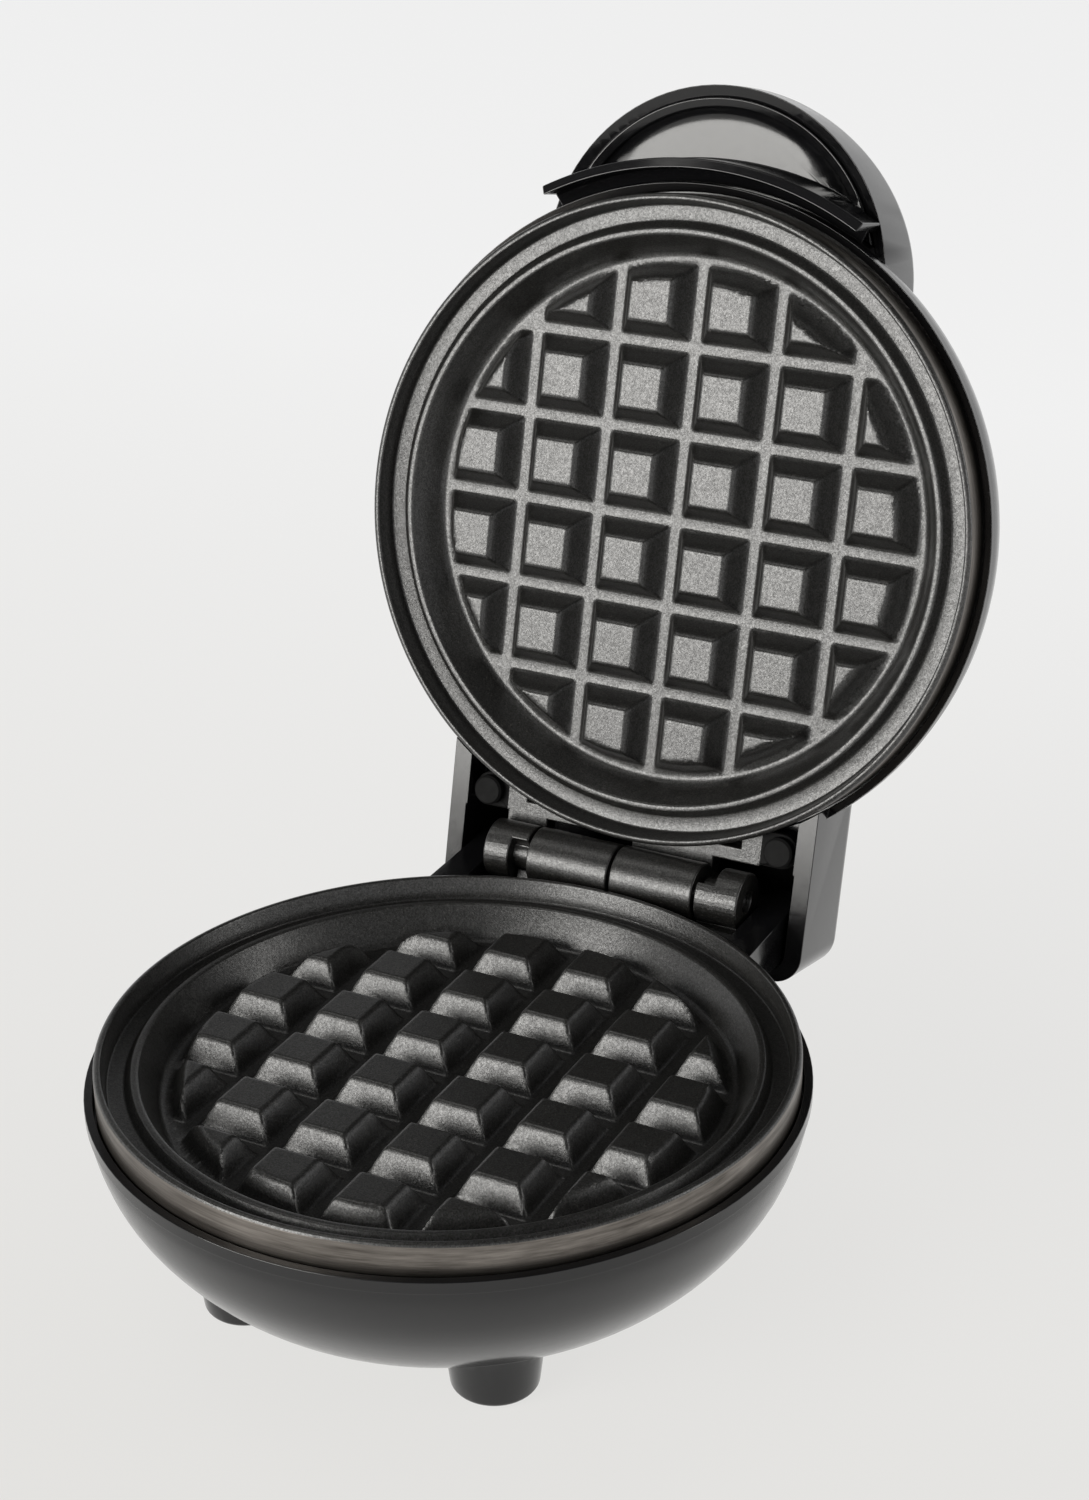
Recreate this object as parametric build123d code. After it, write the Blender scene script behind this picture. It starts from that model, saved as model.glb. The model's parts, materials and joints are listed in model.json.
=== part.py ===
from build123d import *
import math
import os

# Mini belgian waffle maker, shown open. Millimetres, +Z up, -Y is the handle side.
# The pieces are drawn about the axis of the round lower plate. They are then moved together along Y,
# so that the origin lies on the table, under the middle of the open maker.
os.makedirs("parts", exist_ok=True)

# Cooking plates, the same casting above and below
PEG_PITCH = 16.2
PEG_BASE = 13.45
PEG_TOP = 8.55
PEG_HEIGHT = 4.8
PEGS_ACROSS = 6
PEG_FIELD_RADIUS = 47.6
RECESS_FLOOR_RADIUS = 49.6
RECESS_MOUTH_RADIUS = 53.0
RIDGE_WIDTH = 1.1
RIDGE_HEIGHT = 6.3
LAND_HEIGHT = 4.35
LAND_INNER_RADIUS = 55.3
LAND_OUTER_RADIUS = 58.3
LIP_WIDTH = 0.8
LIP_CHAMFER = 0.45
PLATE_RADIUS = 60.3
PLATE_FLOOR = 2.6
SKIRT_WIDTH = 2.5
FLANGE_THICKNESS = 2.75

# Heights above the table
FOOT_PAD_DROP = 0.6
BOWL_BOTTOM = 5.0
PLATE_FLOOR_LEVEL = 35.0
PARTING_LEVEL = 43.8
PARTING_GAP = 0.3
RIM_ABOVE_FLOOR = 3.0

# Hinge
HINGE_BEHIND = 66.8
LID_OPEN_ANGLE = 103.6
STOP_MARGIN = 0.6
KNUCKLE_RADIUS = 5.6
KNUCKLE_INNER_LENGTH = 16.9
KNUCKLE_OUTER_LENGTH = 8.6
KNUCKLE_GAP = 0.6
KNUCKLE_ROOT = 1.0
HINGE_HALF_GAP = 0.3
PIN_RADIUS = 2.0
PIN_CLEARANCE = 0.05
PIN_END = 1.0
PIN_CHAMFER = 0.4
NOTCH_LENGTH = 3.3
NOTCH_FLOOR_RADIUS = 3.1
NOTCH_START = 50.0
LUG_ANGLE_IN_LOWER = 56.0
LUG_SPAN = 26.0
LUG_CLEARANCE = 0.3
WEB_TOP = 5.2
WEB_THICKNESS = 4.0
WEB_CLEARANCE = 0.6

# Moulded shells
SHELL_RADIUS = 62.2
SHELL_WALL = 2.2
BOWL_FLAT_RADIUS = 33.9
BOWL_CURVE = 1.68
DOME_DEPTH = 31.0
DOME_FLAT_RADIUS = 6.0
DOME_CURVE = 2.2
RIM_BAND = 2.2
RIM_STEP = 0.35
PLATE_FIT = 0.4
CURVE_POINTS = 7
CURVE_START = (1, 0, 0.12)
CURVE_END = (0.06, 0, 1)
PAST = 1.0

# Feet, and the screws that hold the lower plate
FOOT_X = 24.1
FRONT_FOOT_Y = 29.8
REAR_FOOT_Y = 50.0
POST_Y = 29.8
FOOT_BOTTOM_RADIUS = 7.4
FOOT_EDGE = 1.2
FRONT_FOOT_HEIGHT = 12.0
REAR_FOOT_HEIGHT = 26.0
FOOT_DRAFT = 0.115
PAD_RADIUS = 5.4
PAD_THICKNESS = 1.6
PAD_CHAMFER = 0.4
WELL_RADIUS = 3.6
WELL_TOP = 10.5
BOSS_RADIUS = 4.6
POST_RADIUS = 3.6
POST_LENGTH = 11.2
SCREW_RADIUS = 1.5
SCREW_HEAD_RADIUS = 2.9
SCREW_HEAD_HEIGHT = 1.9
SCREW_CHAMFER = 0.4
SCREW_BITE = 7.0
SCREW_CLEARANCE = 0.05
THROUGH_CLEARANCE = 0.3

# Rear bay of the base and the hood of the lid
BAY_HALF_WIDTH = 27.4
REAR_HALF_WIDTH = 33.6
REAR_RADIUS = 10.6
REAR_TOP_ABOVE_FLOOR = 7.0
REAR_INNER_RADIUS = 6.4
HOOD_GAP = 0.8
HOOD_WALL = 3.4
HOOD_BACK_RADIUS = 14.2
HOOD_BACK_WALL = 2.0
HOOD_CORNER = 5.5
HOOD_RIM_ABOVE_AXIS = 1.2
HOOD_TOP_ABOVE_AXIS = 23.0
HOOD_EDGE = 5.0
HOOD_FRONT = 46.0
HOOD_SLOT_FRONT = 42.0

# Handle
NOSE_RADIUS = 34.0
NOSE_CENTRE = 46.0
NOSE_LIP_WIDTH = 2.2
NOSE_BOTTOM_ABOVE_PARTING = 12.2
NOSE_HEIGHT = 22.0
NOSE_EDGE = 4.0
NOSE_CROWN_RADIUS = 92.0
NOSE_CROWN_CENTRE = 34.0
NOSE_CROWN_TOP = 20.0
VISOR_RADIUS = 66.6
VISOR_THICKNESS = 1.8
VISOR_HALF_ANGLE = 28.5
VISOR_BOTTOM_ABOVE_PARTING = 2.2
STEP_BOTTOM_ABOVE_PARTING = 7.6
STEP_THICKNESS = 1.6
SCOOP_DEPTH = 7.0
SCOOP_WALL = 1.7
SCOOP_ROUND = 4.0
INSERT_FIT = 0.1

# Heating and wiring
ELEMENT_RADIUS = 27.0
ELEMENT_TUBE = 3.2
ELEMENT_GAP_ANGLE = 44.0
ELEMENT_LEG = 6.0
TERMINAL_LENGTH = 4.0
SEAT_WIDTH = 9.6
SEAT_DEPTH = 3.2
SEAT_CLEARANCE = 0.05
TERMINAL_RADIUS = 1.1
REFLECTOR_RADIUS = 50.0
REFLECTOR_THICKNESS = 0.6
REFLECTOR_RIM = 4.0
REFLECTOR_BEND = 1.0
LEG_HOLE_RADIUS = 4.6
THERMOSTAT_RADIUS = 7.8
THERMOSTAT_HEIGHT = 5.0
THERMOSTAT_FLANGE = 1.2
THERMOSTAT_FLANGE_LOW = 2.2
THERMOSTAT_FLANGE_HIGH = 1.4
BLADE_SPACING = 0.6
BLADE_WIDTH = 3.0
BLADE_THICKNESS = 0.8
BLADE_LENGTH = 3.0
STRAP_WIDTH = 5.0
STRAP_THICKNESS = 0.8
STRAP_FOOT = 6.0
FUSE_Y = -14.0
FUSE_LENGTH = 12.0
FUSE_RADIUS = 2.0
BLOCK_LENGTH = 24.0
BLOCK_WIDTH = 9.0
BLOCK_HEIGHT = 8.0
BLOCK_WAYS = 3
WAY_PITCH = 7.5
LEAD_RADIUS = 1.1
LEAD_BEND = 2.2
LEAD_TURN = 8.0
LEAD_CLEARANCE = 3.2
LID_LEAD_TURN = 34.0
LID_LEAD_END = 43.0
LID_LEAD_DROP = 1.6
LID_LEAD_RISE = 0.4
INLET_LEVEL = 20.0
INLET_BOSS_RADIUS = 7.5
INLET_BOSS_REACH = 61.0
INLET_BORE_RADIUS = 3.4
BUSHING_RADIUS = 5.0
BUSHING_FLANGE = 6.6
BUSHING_FLANGE_THICKNESS = 1.6
BUSHING_LENGTH = 8.0
LENS_RADIUS = 4.2
LENS_FLANGE = 0.6
LENS_THICKNESS = 1.6
LENS_CHAMFER = 0.4
LAMP_RADIUS = 2.6
LAMP_LENGTH = 9.0
EAR_X = 30.4
EAR_Y = 56.8
EAR_RADIUS = 3.4
EAR_ROOT = 8.0

LIP_HEIGHT = PARTING_LEVEL - PARTING_GAP / 2 - PLATE_FLOOR_LEVEL
AXIS_HEIGHT = PARTING_LEVEL - PLATE_FLOOR_LEVEL
RIM_LEVEL = PLATE_FLOOR_LEVEL + RIM_ABOVE_FLOOR
LID_RIM_LEVEL = 2 * PARTING_LEVEL - RIM_LEVEL
KNUCKLE_END = HINGE_HALF_GAP + KNUCKLE_INNER_LENGTH + KNUCKLE_GAP + KNUCKLE_OUTER_LENGTH
OUTER_KNUCKLE_START = KNUCKLE_END - KNUCKLE_OUTER_LENGTH
POST_END = -PLATE_FLOOR - POST_LENGTH
HOOD_INNER_HALF = REAR_HALF_WIDTH + HOOD_GAP
HOOD_HALF = HOOD_INNER_HALF + HOOD_WALL
HOOD_BACK = HINGE_BEHIND + HOOD_BACK_RADIUS
UPPER_FLOOR_LEVEL = 2 * PARTING_LEVEL - PLATE_FLOOR_LEVEL
LID_TOP = LID_RIM_LEVEL + DOME_DEPTH
NOSE_LEVEL = PARTING_LEVEL + NOSE_BOTTOM_ABOVE_PARTING
NOSE_INNER = NOSE_RADIUS - NOSE_LIP_WIDTH
SCOOP_ROOF = NOSE_LEVEL + SCOOP_DEPTH
FUSE_LEVEL = POST_END - REFLECTOR_THICKNESS - FUSE_RADIUS
POST_SPOTS = [(sx * FOOT_X, sy * POST_Y) for sx in (-1, 1) for sy in (-1, 1)]
FEET = [(sx * FOOT_X, y, height) for sx in (-1, 1)
        for y, height in ((-FRONT_FOOT_Y, FRONT_FOOT_HEIGHT), (REAR_FOOT_Y, REAR_FOOT_HEIGHT))]


def rod(radius, x0, x1, y, z):
    """A cylinder along X between x0 and x1."""
    return Pos((x0 + x1) / 2, y, z) * Rot(Y=90) * Cylinder(radius, x1 - x0)


def post(radius, x, y, z0, z1):
    """A cylinder along Z between z0 and z1."""
    return Pos(x, y, (z0 + z1) / 2) * Cylinder(radius, z1 - z0)


def block(x0, x1, y0, y1, z0, z1):
    """A block between two corners."""
    return Pos((x0 + x1) / 2, (y0 + y1) / 2, (z0 + z1) / 2) * Box(x1 - x0, y1 - y0, z1 - z0)


def turned(points):
    """A solid of revolution about Z from a closed outline of radius and height pairs."""
    outline = make_face(Polyline(*[(r, 0, z) for r, z in points], close=True))
    return revolve(outline, Axis.Z)


def sector(radius, start, end, x0, x1, y, z):
    """A wedge about an X axis. Angles are in degrees from -Y towards +Z."""
    rim = []
    for i in range(CURVE_POINTS):
        a = math.radians(start + (end - start) * i / (CURVE_POINTS - 1))
        rim.append((x0, y - radius * math.cos(a), z + radius * math.sin(a)))
    face = make_face(Polyline((x0, y, z), *rim, close=True))
    return extrude(face, amount=x1 - x0, dir=(1, 0, 0))


def fastener(length, x, y, z):
    """A pan-head screw along Z. The head lies below z and the shank runs up from it."""
    head = post(SCREW_HEAD_RADIUS, x, y, z - SCREW_HEAD_HEIGHT, z)
    head = chamfer(head.edges().filter_by(GeomType.CIRCLE), SCREW_CHAMFER)
    return head + post(SCREW_RADIUS, x, y, z, z + length)


def opened(shape):
    """Turn a piece of the lid from closed to the open position about the hinge axis."""
    axis = Pos(0, HINGE_BEHIND, PARTING_LEVEL)
    return axis * Rot(X=-LID_OPEN_ANGLE) * Pos(0, -HINGE_BEHIND, -PARTING_LEVEL) * shape


def turned_over(shape):
    """Put a piece built on the lower plate in the matching place on the upper plate, closed."""
    return Pos(0, 0, UPPER_FLOOR_LEVEL) * Rot(Y=180) * shape


def raised(shape):
    """Lift a piece built on the plate's own floor level to the lower plate's height."""
    return Pos(0, 0, PLATE_FLOOR_LEVEL) * shape


def peg_grid():
    """Rows of tapered square pegs, trimmed by the cone that leaves a floor strip all round."""
    draw_in = (PEG_BASE - PEG_TOP) / 2
    draft = math.degrees(math.atan(draw_in / PEG_HEIGHT))
    middle = (PEGS_ACROSS - 1) / 2
    pegs = []
    field = Pos(0, 0, PEG_HEIGHT / 2) * Cone(PEG_FIELD_RADIUS, PEG_FIELD_RADIUS - draw_in, PEG_HEIGHT)
    for i in range(PEGS_ACROSS):
        for j in range(PEGS_ACROSS):
            x = (i - middle) * PEG_PITCH
            y = (j - middle) * PEG_PITCH
            near = math.hypot(abs(x) - PEG_TOP / 2, abs(y) - PEG_TOP / 2)
            if near > PEG_FIELD_RADIUS - draw_in:
                continue
            far = math.hypot(abs(x) + PEG_BASE / 2, abs(y) + PEG_BASE / 2)
            peg = extrude(Pos(x, y) * Rectangle(PEG_BASE, PEG_BASE), PEG_HEIGHT, taper=draft)
            if far > PEG_FIELD_RADIUS - draw_in:
                peg = peg & field
            pegs.append(peg)
    return pegs


def plate_body():
    """The round dish of the casting: recess, ridge, land, lip, skirt and the seat of the heater."""
    ridge_outer = RECESS_MOUTH_RADIUS + RIDGE_WIDTH
    lip_inner = PLATE_RADIUS - LIP_CHAMFER - LIP_WIDTH
    skirt_inner = PLATE_RADIUS - SKIRT_WIDTH
    under_land = LAND_HEIGHT - FLANGE_THICKNESS
    outline = [
        (0, -PLATE_FLOOR),
        (RECESS_FLOOR_RADIUS, -PLATE_FLOOR),
        (RECESS_MOUTH_RADIUS, under_land),
        (skirt_inner, under_land),
        (skirt_inner, 0),
        (PLATE_RADIUS, 0),
        (PLATE_RADIUS, LIP_HEIGHT - LIP_CHAMFER),
        (PLATE_RADIUS - LIP_CHAMFER, LIP_HEIGHT),
        (lip_inner, LIP_HEIGHT),
        (LAND_OUTER_RADIUS, LAND_HEIGHT),
        (LAND_INNER_RADIUS, LAND_HEIGHT),
        (ridge_outer, RIDGE_HEIGHT),
        (RECESS_MOUTH_RADIUS, RIDGE_HEIGHT),
        (RECESS_FLOOR_RADIUS, 0),
        (0, 0),
    ]
    return turned(outline)


def heater_seat():
    """The raised ring under the plate, with the round groove that the heater lies in."""
    low = -PLATE_FLOOR - SEAT_DEPTH
    ring = post(ELEMENT_RADIUS + SEAT_WIDTH / 2, 0, 0, low, -PLATE_FLOOR)
    ring -= post(ELEMENT_RADIUS - SEAT_WIDTH / 2, 0, 0, low, -PLATE_FLOOR)
    groove = Pos(0, 0, low) * Torus(ELEMENT_RADIUS, ELEMENT_TUBE + SEAT_CLEARANCE)
    return ring - groove


def hinge_side():
    """The web and the two knuckles, one with the stop lug and one with the stop notch."""
    web_low = WEB_TOP - WEB_THICKNESS
    reach = HINGE_BEHIND - KNUCKLE_RADIUS - WEB_CLEARANCE
    side = block(-KNUCKLE_END, KNUCKLE_END, PLATE_RADIUS - SKIRT_WIDTH, reach, web_low, WEB_TOP)
    inner_end = HINGE_HALF_GAP + KNUCKLE_INNER_LENGTH
    for x0, x1 in ((-inner_end, -HINGE_HALF_GAP), (OUTER_KNUCKLE_START, KNUCKLE_END)):
        side += block(x0, x1, reach - KNUCKLE_ROOT, HINGE_BEHIND, web_low, WEB_TOP)
        side += rod(KNUCKLE_RADIUS, x0, x1, HINGE_BEHIND, AXIS_HEIGHT)
    notch_end = OUTER_KNUCKLE_START + NOTCH_LENGTH
    notch_stop = LID_OPEN_ANGLE + STOP_MARGIN + LUG_ANGLE_IN_LOWER + LUG_SPAN
    notch = sector(2 * KNUCKLE_RADIUS, NOTCH_START, notch_stop, OUTER_KNUCKLE_START - PAST, notch_end,
                   HINGE_BEHIND, AXIS_HEIGHT)
    notch -= rod(NOTCH_FLOOR_RADIUS, OUTER_KNUCKLE_START - PAST, notch_end, HINGE_BEHIND, AXIS_HEIGHT)
    side -= notch
    lug_tip = notch_end - LUG_CLEARANCE
    lug = sector(2 * KNUCKLE_RADIUS, -LUG_ANGLE_IN_LOWER - LUG_SPAN, -LUG_ANGLE_IN_LOWER,
                 -lug_tip, -inner_end, HINGE_BEHIND, AXIS_HEIGHT)
    lug &= rod(KNUCKLE_RADIUS, -lug_tip, -inner_end, HINGE_BEHIND, AXIS_HEIGHT)
    lug -= rod(NOTCH_FLOOR_RADIUS + LUG_CLEARANCE / 2, -lug_tip, -inner_end, HINGE_BEHIND, AXIS_HEIGHT)
    side += lug
    bore_end = KNUCKLE_END + PAST
    bore = rod(PIN_RADIUS + PIN_CLEARANCE, -bore_end, bore_end, HINGE_BEHIND, AXIS_HEIGHT)
    return side - bore


def casting(ears):
    """One cooking plate on its own floor level. The upper one has two ears for the lid's screws."""
    plate = plate_body() + peg_grid()
    plate += heater_seat()
    for x, y in POST_SPOTS:
        plate += post(POST_RADIUS, x, y, POST_END, -PLATE_FLOOR)
    plate += hinge_side()
    for x, y in POST_SPOTS:
        plate -= post(SCREW_RADIUS + SCREW_CLEARANCE, x, y, POST_END, POST_END + SCREW_BITE + PAST)
    if ears:
        low = WEB_TOP - WEB_THICKNESS
        for sx in (-1, 1):
            x0, x1 = sorted((sx * (EAR_X - EAR_ROOT), sx * EAR_X))
            ear = block(x0, x1, EAR_Y - EAR_RADIUS, EAR_Y + EAR_RADIUS, low, WEB_TOP)
            ear += post(EAR_RADIUS, sx * EAR_X, EAR_Y, low, WEB_TOP)
            ear -= post(RECESS_MOUTH_RADIUS + RIDGE_WIDTH, 0, 0, low - PAST, WEB_TOP + PAST)
            ear -= post(SCREW_RADIUS + THROUGH_CLEARANCE, sx * EAR_X, EAR_Y, low - PAST, WEB_TOP + PAST)
            plate += ear
    return plate


def heater():
    """A tubular heater: most of a ring, with two legs and two terminal pins."""
    level = -PLATE_FLOOR - SEAT_DEPTH
    start = 90 + ELEMENT_GAP_ANGLE / 2
    span = 360 - ELEMENT_GAP_ANGLE
    a0 = math.radians(start)
    a1 = math.radians(start + span)
    ring = Rot(Z=start) * revolve(Plane.XZ * Pos(ELEMENT_RADIUS, level) * Circle(ELEMENT_TUBE), Axis.Z, span)
    for a in (a0, a1):
        x = ELEMENT_RADIUS * math.cos(a)
        y = ELEMENT_RADIUS * math.sin(a)
        ring += Pos(x, y, level) * Sphere(ELEMENT_TUBE)
        ring += post(ELEMENT_TUBE, x, y, level - ELEMENT_LEG, level)
        ring += post(TERMINAL_RADIUS, x, y, level - ELEMENT_LEG - TERMINAL_LENGTH, level - ELEMENT_LEG)
    return ring


def leg_spots():
    """Where the heater's two legs pass the reflector."""
    a = math.radians(ELEMENT_GAP_ANGLE / 2)
    x = ELEMENT_RADIUS * math.sin(a)
    y = ELEMENT_RADIUS * math.cos(a)
    return [(-x, y), (x, y)]


def reflector():
    """A thin steel dish with an upturned rim, holes for the posts' screws and for the heater's legs."""
    low = POST_END - REFLECTOR_THICKNESS
    inner_bend = REFLECTOR_BEND + REFLECTOR_THICKNESS / 2
    dish = turned([
        (0, low),
        (REFLECTOR_RADIUS - REFLECTOR_BEND, low),
        (REFLECTOR_RADIUS, low + REFLECTOR_BEND),
        (REFLECTOR_RADIUS, low + REFLECTOR_RIM),
        (REFLECTOR_RADIUS - REFLECTOR_THICKNESS, low + REFLECTOR_RIM),
        (REFLECTOR_RADIUS - REFLECTOR_THICKNESS, low + inner_bend),
        (REFLECTOR_RADIUS - inner_bend, POST_END),
        (0, POST_END),
    ])
    for x, y in POST_SPOTS:
        dish -= post(SCREW_RADIUS + THROUGH_CLEARANCE, x, y, low - PAST, POST_END + PAST)
    for x, y in leg_spots():
        dish -= post(LEG_HOLE_RADIUS, x, y, low - PAST, POST_END + PAST)
    return dish


def curved_outline(radius, flat_radius, depth, power):
    """Points from the flat face out to the rim, as radius and height above the flat face."""
    points = []
    for i in range(CURVE_POINTS):
        t = i / (CURVE_POINTS - 1)
        t = t * t * (3 - 2 * t)
        spread = (1 - (1 - t) ** power) ** (1 / power)
        points.append((flat_radius + (radius - flat_radius) * spread, depth * t))
    return points


def bowl(radius, flat_radius, depth, power, rim_height):
    """A round bowl with its flat face at z = 0, filled, with a straight band up to the rim."""
    points = curved_outline(radius, flat_radius, depth, power)
    curve = Spline(*[(r, 0, z) for r, z in points], tangents=[CURVE_START, CURVE_END])
    edges = Line((0, 0, 0), (flat_radius, 0, 0)) + curve
    edges += Polyline((radius, 0, depth), (radius, 0, rim_height), (0, 0, rim_height), (0, 0, 0))
    return revolve(make_face(edges), Axis.Z)


def round_shell(depth, flat_radius, power):
    """The filled outer and inner forms of a moulded bowl standing on z = 0, with a band at the rim."""
    outer = bowl(SHELL_RADIUS - RIM_STEP, flat_radius, depth - RIM_BAND, power, depth)
    outer += post(SHELL_RADIUS, 0, 0, depth - RIM_BAND, depth)
    inner_depth = depth - RIM_BAND - SHELL_WALL
    inner = Pos(0, 0, SHELL_WALL) * bowl(SHELL_RADIUS - RIM_STEP - SHELL_WALL, flat_radius - SHELL_WALL / 2,
                                        inner_depth, power, depth)
    return outer, inner


def base_shell():
    """The bowl with four feet, screw bosses, the rear bay of the hinge and the cord inlet."""
    depth = RIM_LEVEL - BOWL_BOTTOM
    outer, inner = round_shell(depth, BOWL_FLAT_RADIUS, BOWL_CURVE)
    outer = Pos(0, 0, BOWL_BOTTOM) * outer
    inner = Pos(0, 0, BOWL_BOTTOM) * inner
    rear_top = PLATE_FLOOR_LEVEL + REAR_TOP_ABOVE_FLOOR
    rear = rod(REAR_RADIUS, -REAR_HALF_WIDTH, REAR_HALF_WIDTH, HINGE_BEHIND, PARTING_LEVEL)
    rear += block(-REAR_HALF_WIDTH, REAR_HALF_WIDTH, HOOD_FRONT, HINGE_BEHIND,
                  PARTING_LEVEL - REAR_RADIUS, rear_top)
    rear -= block(-REAR_HALF_WIDTH - PAST, REAR_HALF_WIDTH + PAST, 0, HOOD_BACK, rear_top, 2 * PARTING_LEVEL)
    boss_axis = Pos(0, INLET_BOSS_REACH / 2, INLET_LEVEL) * Rot(X=90)
    shell = outer + rear
    shell += boss_axis * Cylinder(INLET_BOSS_RADIUS, INLET_BOSS_REACH)
    for x, y, height in FEET:
        foot = Pos(x, y, FOOT_PAD_DROP + height / 2) * Cone(
            FOOT_BOTTOM_RADIUS, FOOT_BOTTOM_RADIUS + FOOT_DRAFT * height, height)
        foot = fillet(foot.edges().sort_by(Axis.Z)[0], FOOT_EDGE)
        shell += foot
    shell -= inner
    shell -= post(PLATE_RADIUS + PLATE_FIT, 0, 0, PLATE_FLOOR_LEVEL, rear_top + PAST)
    boss_top = PLATE_FLOOR_LEVEL + POST_END - REFLECTOR_THICKNESS
    for x, y in POST_SPOTS:
        shell += post(BOSS_RADIUS, x, y, BOWL_BOTTOM + SHELL_WALL / 2, boss_top)
        shell -= post(WELL_RADIUS, x, y, 0, WELL_TOP)
        shell -= post(SCREW_RADIUS + THROUGH_CLEARANCE, x, y, 0, boss_top + PAST)
    for x, y, _ in FEET:
        shell -= post(PAD_RADIUS + INSERT_FIT, x, y, 0, PAD_THICKNESS)
    bay_floor = PLATE_FLOOR_LEVEL + WEB_TOP - WEB_THICKNESS - THROUGH_CLEARANCE
    shell -= block(-BAY_HALF_WIDTH, BAY_HALF_WIDTH, PLATE_RADIUS - SKIRT_WIDTH - PLATE_FIT, HINGE_BEHIND,
                   bay_floor, rear_top + PAST)
    shell -= rod(REAR_INNER_RADIUS, -BAY_HALF_WIDTH, BAY_HALF_WIDTH, HINGE_BEHIND, PARTING_LEVEL)
    shell -= block(-BAY_HALF_WIDTH, BAY_HALF_WIDTH, HINGE_BEHIND, HOOD_BACK,
                   PARTING_LEVEL - KNUCKLE_RADIUS, rear_top + PAST)
    shell -= boss_axis * Cylinder(BUSHING_RADIUS + INSERT_FIT / 2, 2 * INLET_BOSS_REACH)
    return shell


def crescent(outer_radius, inner_radius, z0, z1):
    """The plan form of the handle: the nose's circle less a circle about the plate's centre."""
    plan = Pos(0, -NOSE_CENTRE) * Circle(outer_radius) - Circle(inner_radius)
    plan &= Pos(0, -NOSE_CENTRE - outer_radius) * Rectangle(4 * outer_radius, 2 * outer_radius)
    return Pos(0, 0, z0) * extrude(plan, z1 - z0)


def arc_band(inner_radius, outer_radius, half_angle, z0, z1):
    """A curved wall about the plate's axis, in front of the plate."""
    band = post(outer_radius, 0, 0, z0, z1) - post(inner_radius, 0, 0, z0 - PAST, z1 + PAST)
    a = math.radians(half_angle)
    reach = 2 * outer_radius
    wedge = make_face(Polyline((0, 0, z0), (reach * math.sin(a), -reach * math.cos(a), z0),
                               (-reach * math.sin(a), -reach * math.cos(a), z0), close=True))
    return band & extrude(wedge, amount=z1 - z0, dir=(0, 0, 1))


def lid_shell():
    """The domed lid, closed, with the nose of the handle and the hood over the hinge."""
    outer, inner = round_shell(DOME_DEPTH, DOME_FLAT_RADIUS, DOME_CURVE)
    flip = Pos(0, 0, LID_TOP) * Rot(Y=180)
    outer = flip * outer
    inner = flip * inner
    hood_low = PARTING_LEVEL + HOOD_RIM_ABOVE_AXIS
    hood_top = PARTING_LEVEL + HOOD_TOP_ABOVE_AXIS
    hood = block(-HOOD_HALF, HOOD_HALF, HOOD_FRONT, HOOD_BACK, hood_low, hood_top)
    upright = hood.edges().filter_by(Axis.Z).group_by(Axis.Y)[-1]
    hood = fillet(upright, HOOD_CORNER)
    hood = fillet(hood.faces().sort_by(Axis.Z)[-1].edges().group_by(Axis.Y)[1:], HOOD_EDGE)
    hood -= post(PLATE_RADIUS + PLATE_FIT, 0, 0, hood_low - PAST, LID_RIM_LEVEL)
    nose = Pos(0, -NOSE_CENTRE, NOSE_LEVEL) * extrude(Circle(NOSE_RADIUS), NOSE_HEIGHT)
    nose &= rod(NOSE_CROWN_RADIUS, -SHELL_RADIUS, SHELL_RADIUS, -NOSE_CROWN_CENTRE,
                NOSE_LEVEL + NOSE_CROWN_TOP - NOSE_CROWN_RADIUS)
    nose = fillet(nose.edges().group_by(Axis.Z)[1:], NOSE_EDGE)
    shell = outer + hood + nose
    shell -= inner
    shell -= post(SHELL_RADIUS - RIM_STEP - SHELL_WALL, 0, 0, LID_RIM_LEVEL - PAST, NOSE_LEVEL)
    shell -= post(PLATE_RADIUS + PLATE_FIT, 0, 0, LID_RIM_LEVEL - PAST, UPPER_FLOOR_LEVEL)
    shell -= crescent(NOSE_INNER, SHELL_RADIUS + INSERT_FIT, NOSE_LEVEL - PAST,
                      SCOOP_ROOF + SCOOP_WALL + INSERT_FIT)
    inside = block(-HOOD_INNER_HALF, HOOD_INNER_HALF, EAR_Y + EAR_RADIUS, HOOD_BACK - HOOD_BACK_WALL,
                   hood_low - PAST, hood_top - HOOD_BACK_WALL)
    inside = fillet(inside.edges().filter_by(Axis.Z).group_by(Axis.Y)[-1], HOOD_CORNER - HOOD_BACK_WALL)
    shell -= inside
    ear_top = UPPER_FLOOR_LEVEL - WEB_TOP + WEB_THICKNESS
    slot_half = EAR_X + EAR_RADIUS + THROUGH_CLEARANCE
    slot_back = EAR_Y + EAR_RADIUS + PAST
    shell -= block(-slot_half, slot_half, HOOD_SLOT_FRONT, slot_back, hood_low - PAST, ear_top)
    for sx in (-1, 1):
        shell += post(EAR_RADIUS, sx * EAR_X, EAR_Y, ear_top, hood_top - HOOD_EDGE)
        shell -= post(SCREW_RADIUS + SCREW_CLEARANCE, sx * EAR_X, EAR_Y, ear_top - PAST,
                      ear_top + SCREW_BITE + PAST)
    shell -= post(LENS_RADIUS + INSERT_FIT, 0, 0, LID_TOP - 2 * SHELL_WALL, LID_TOP + PAST)
    return shell


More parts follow.
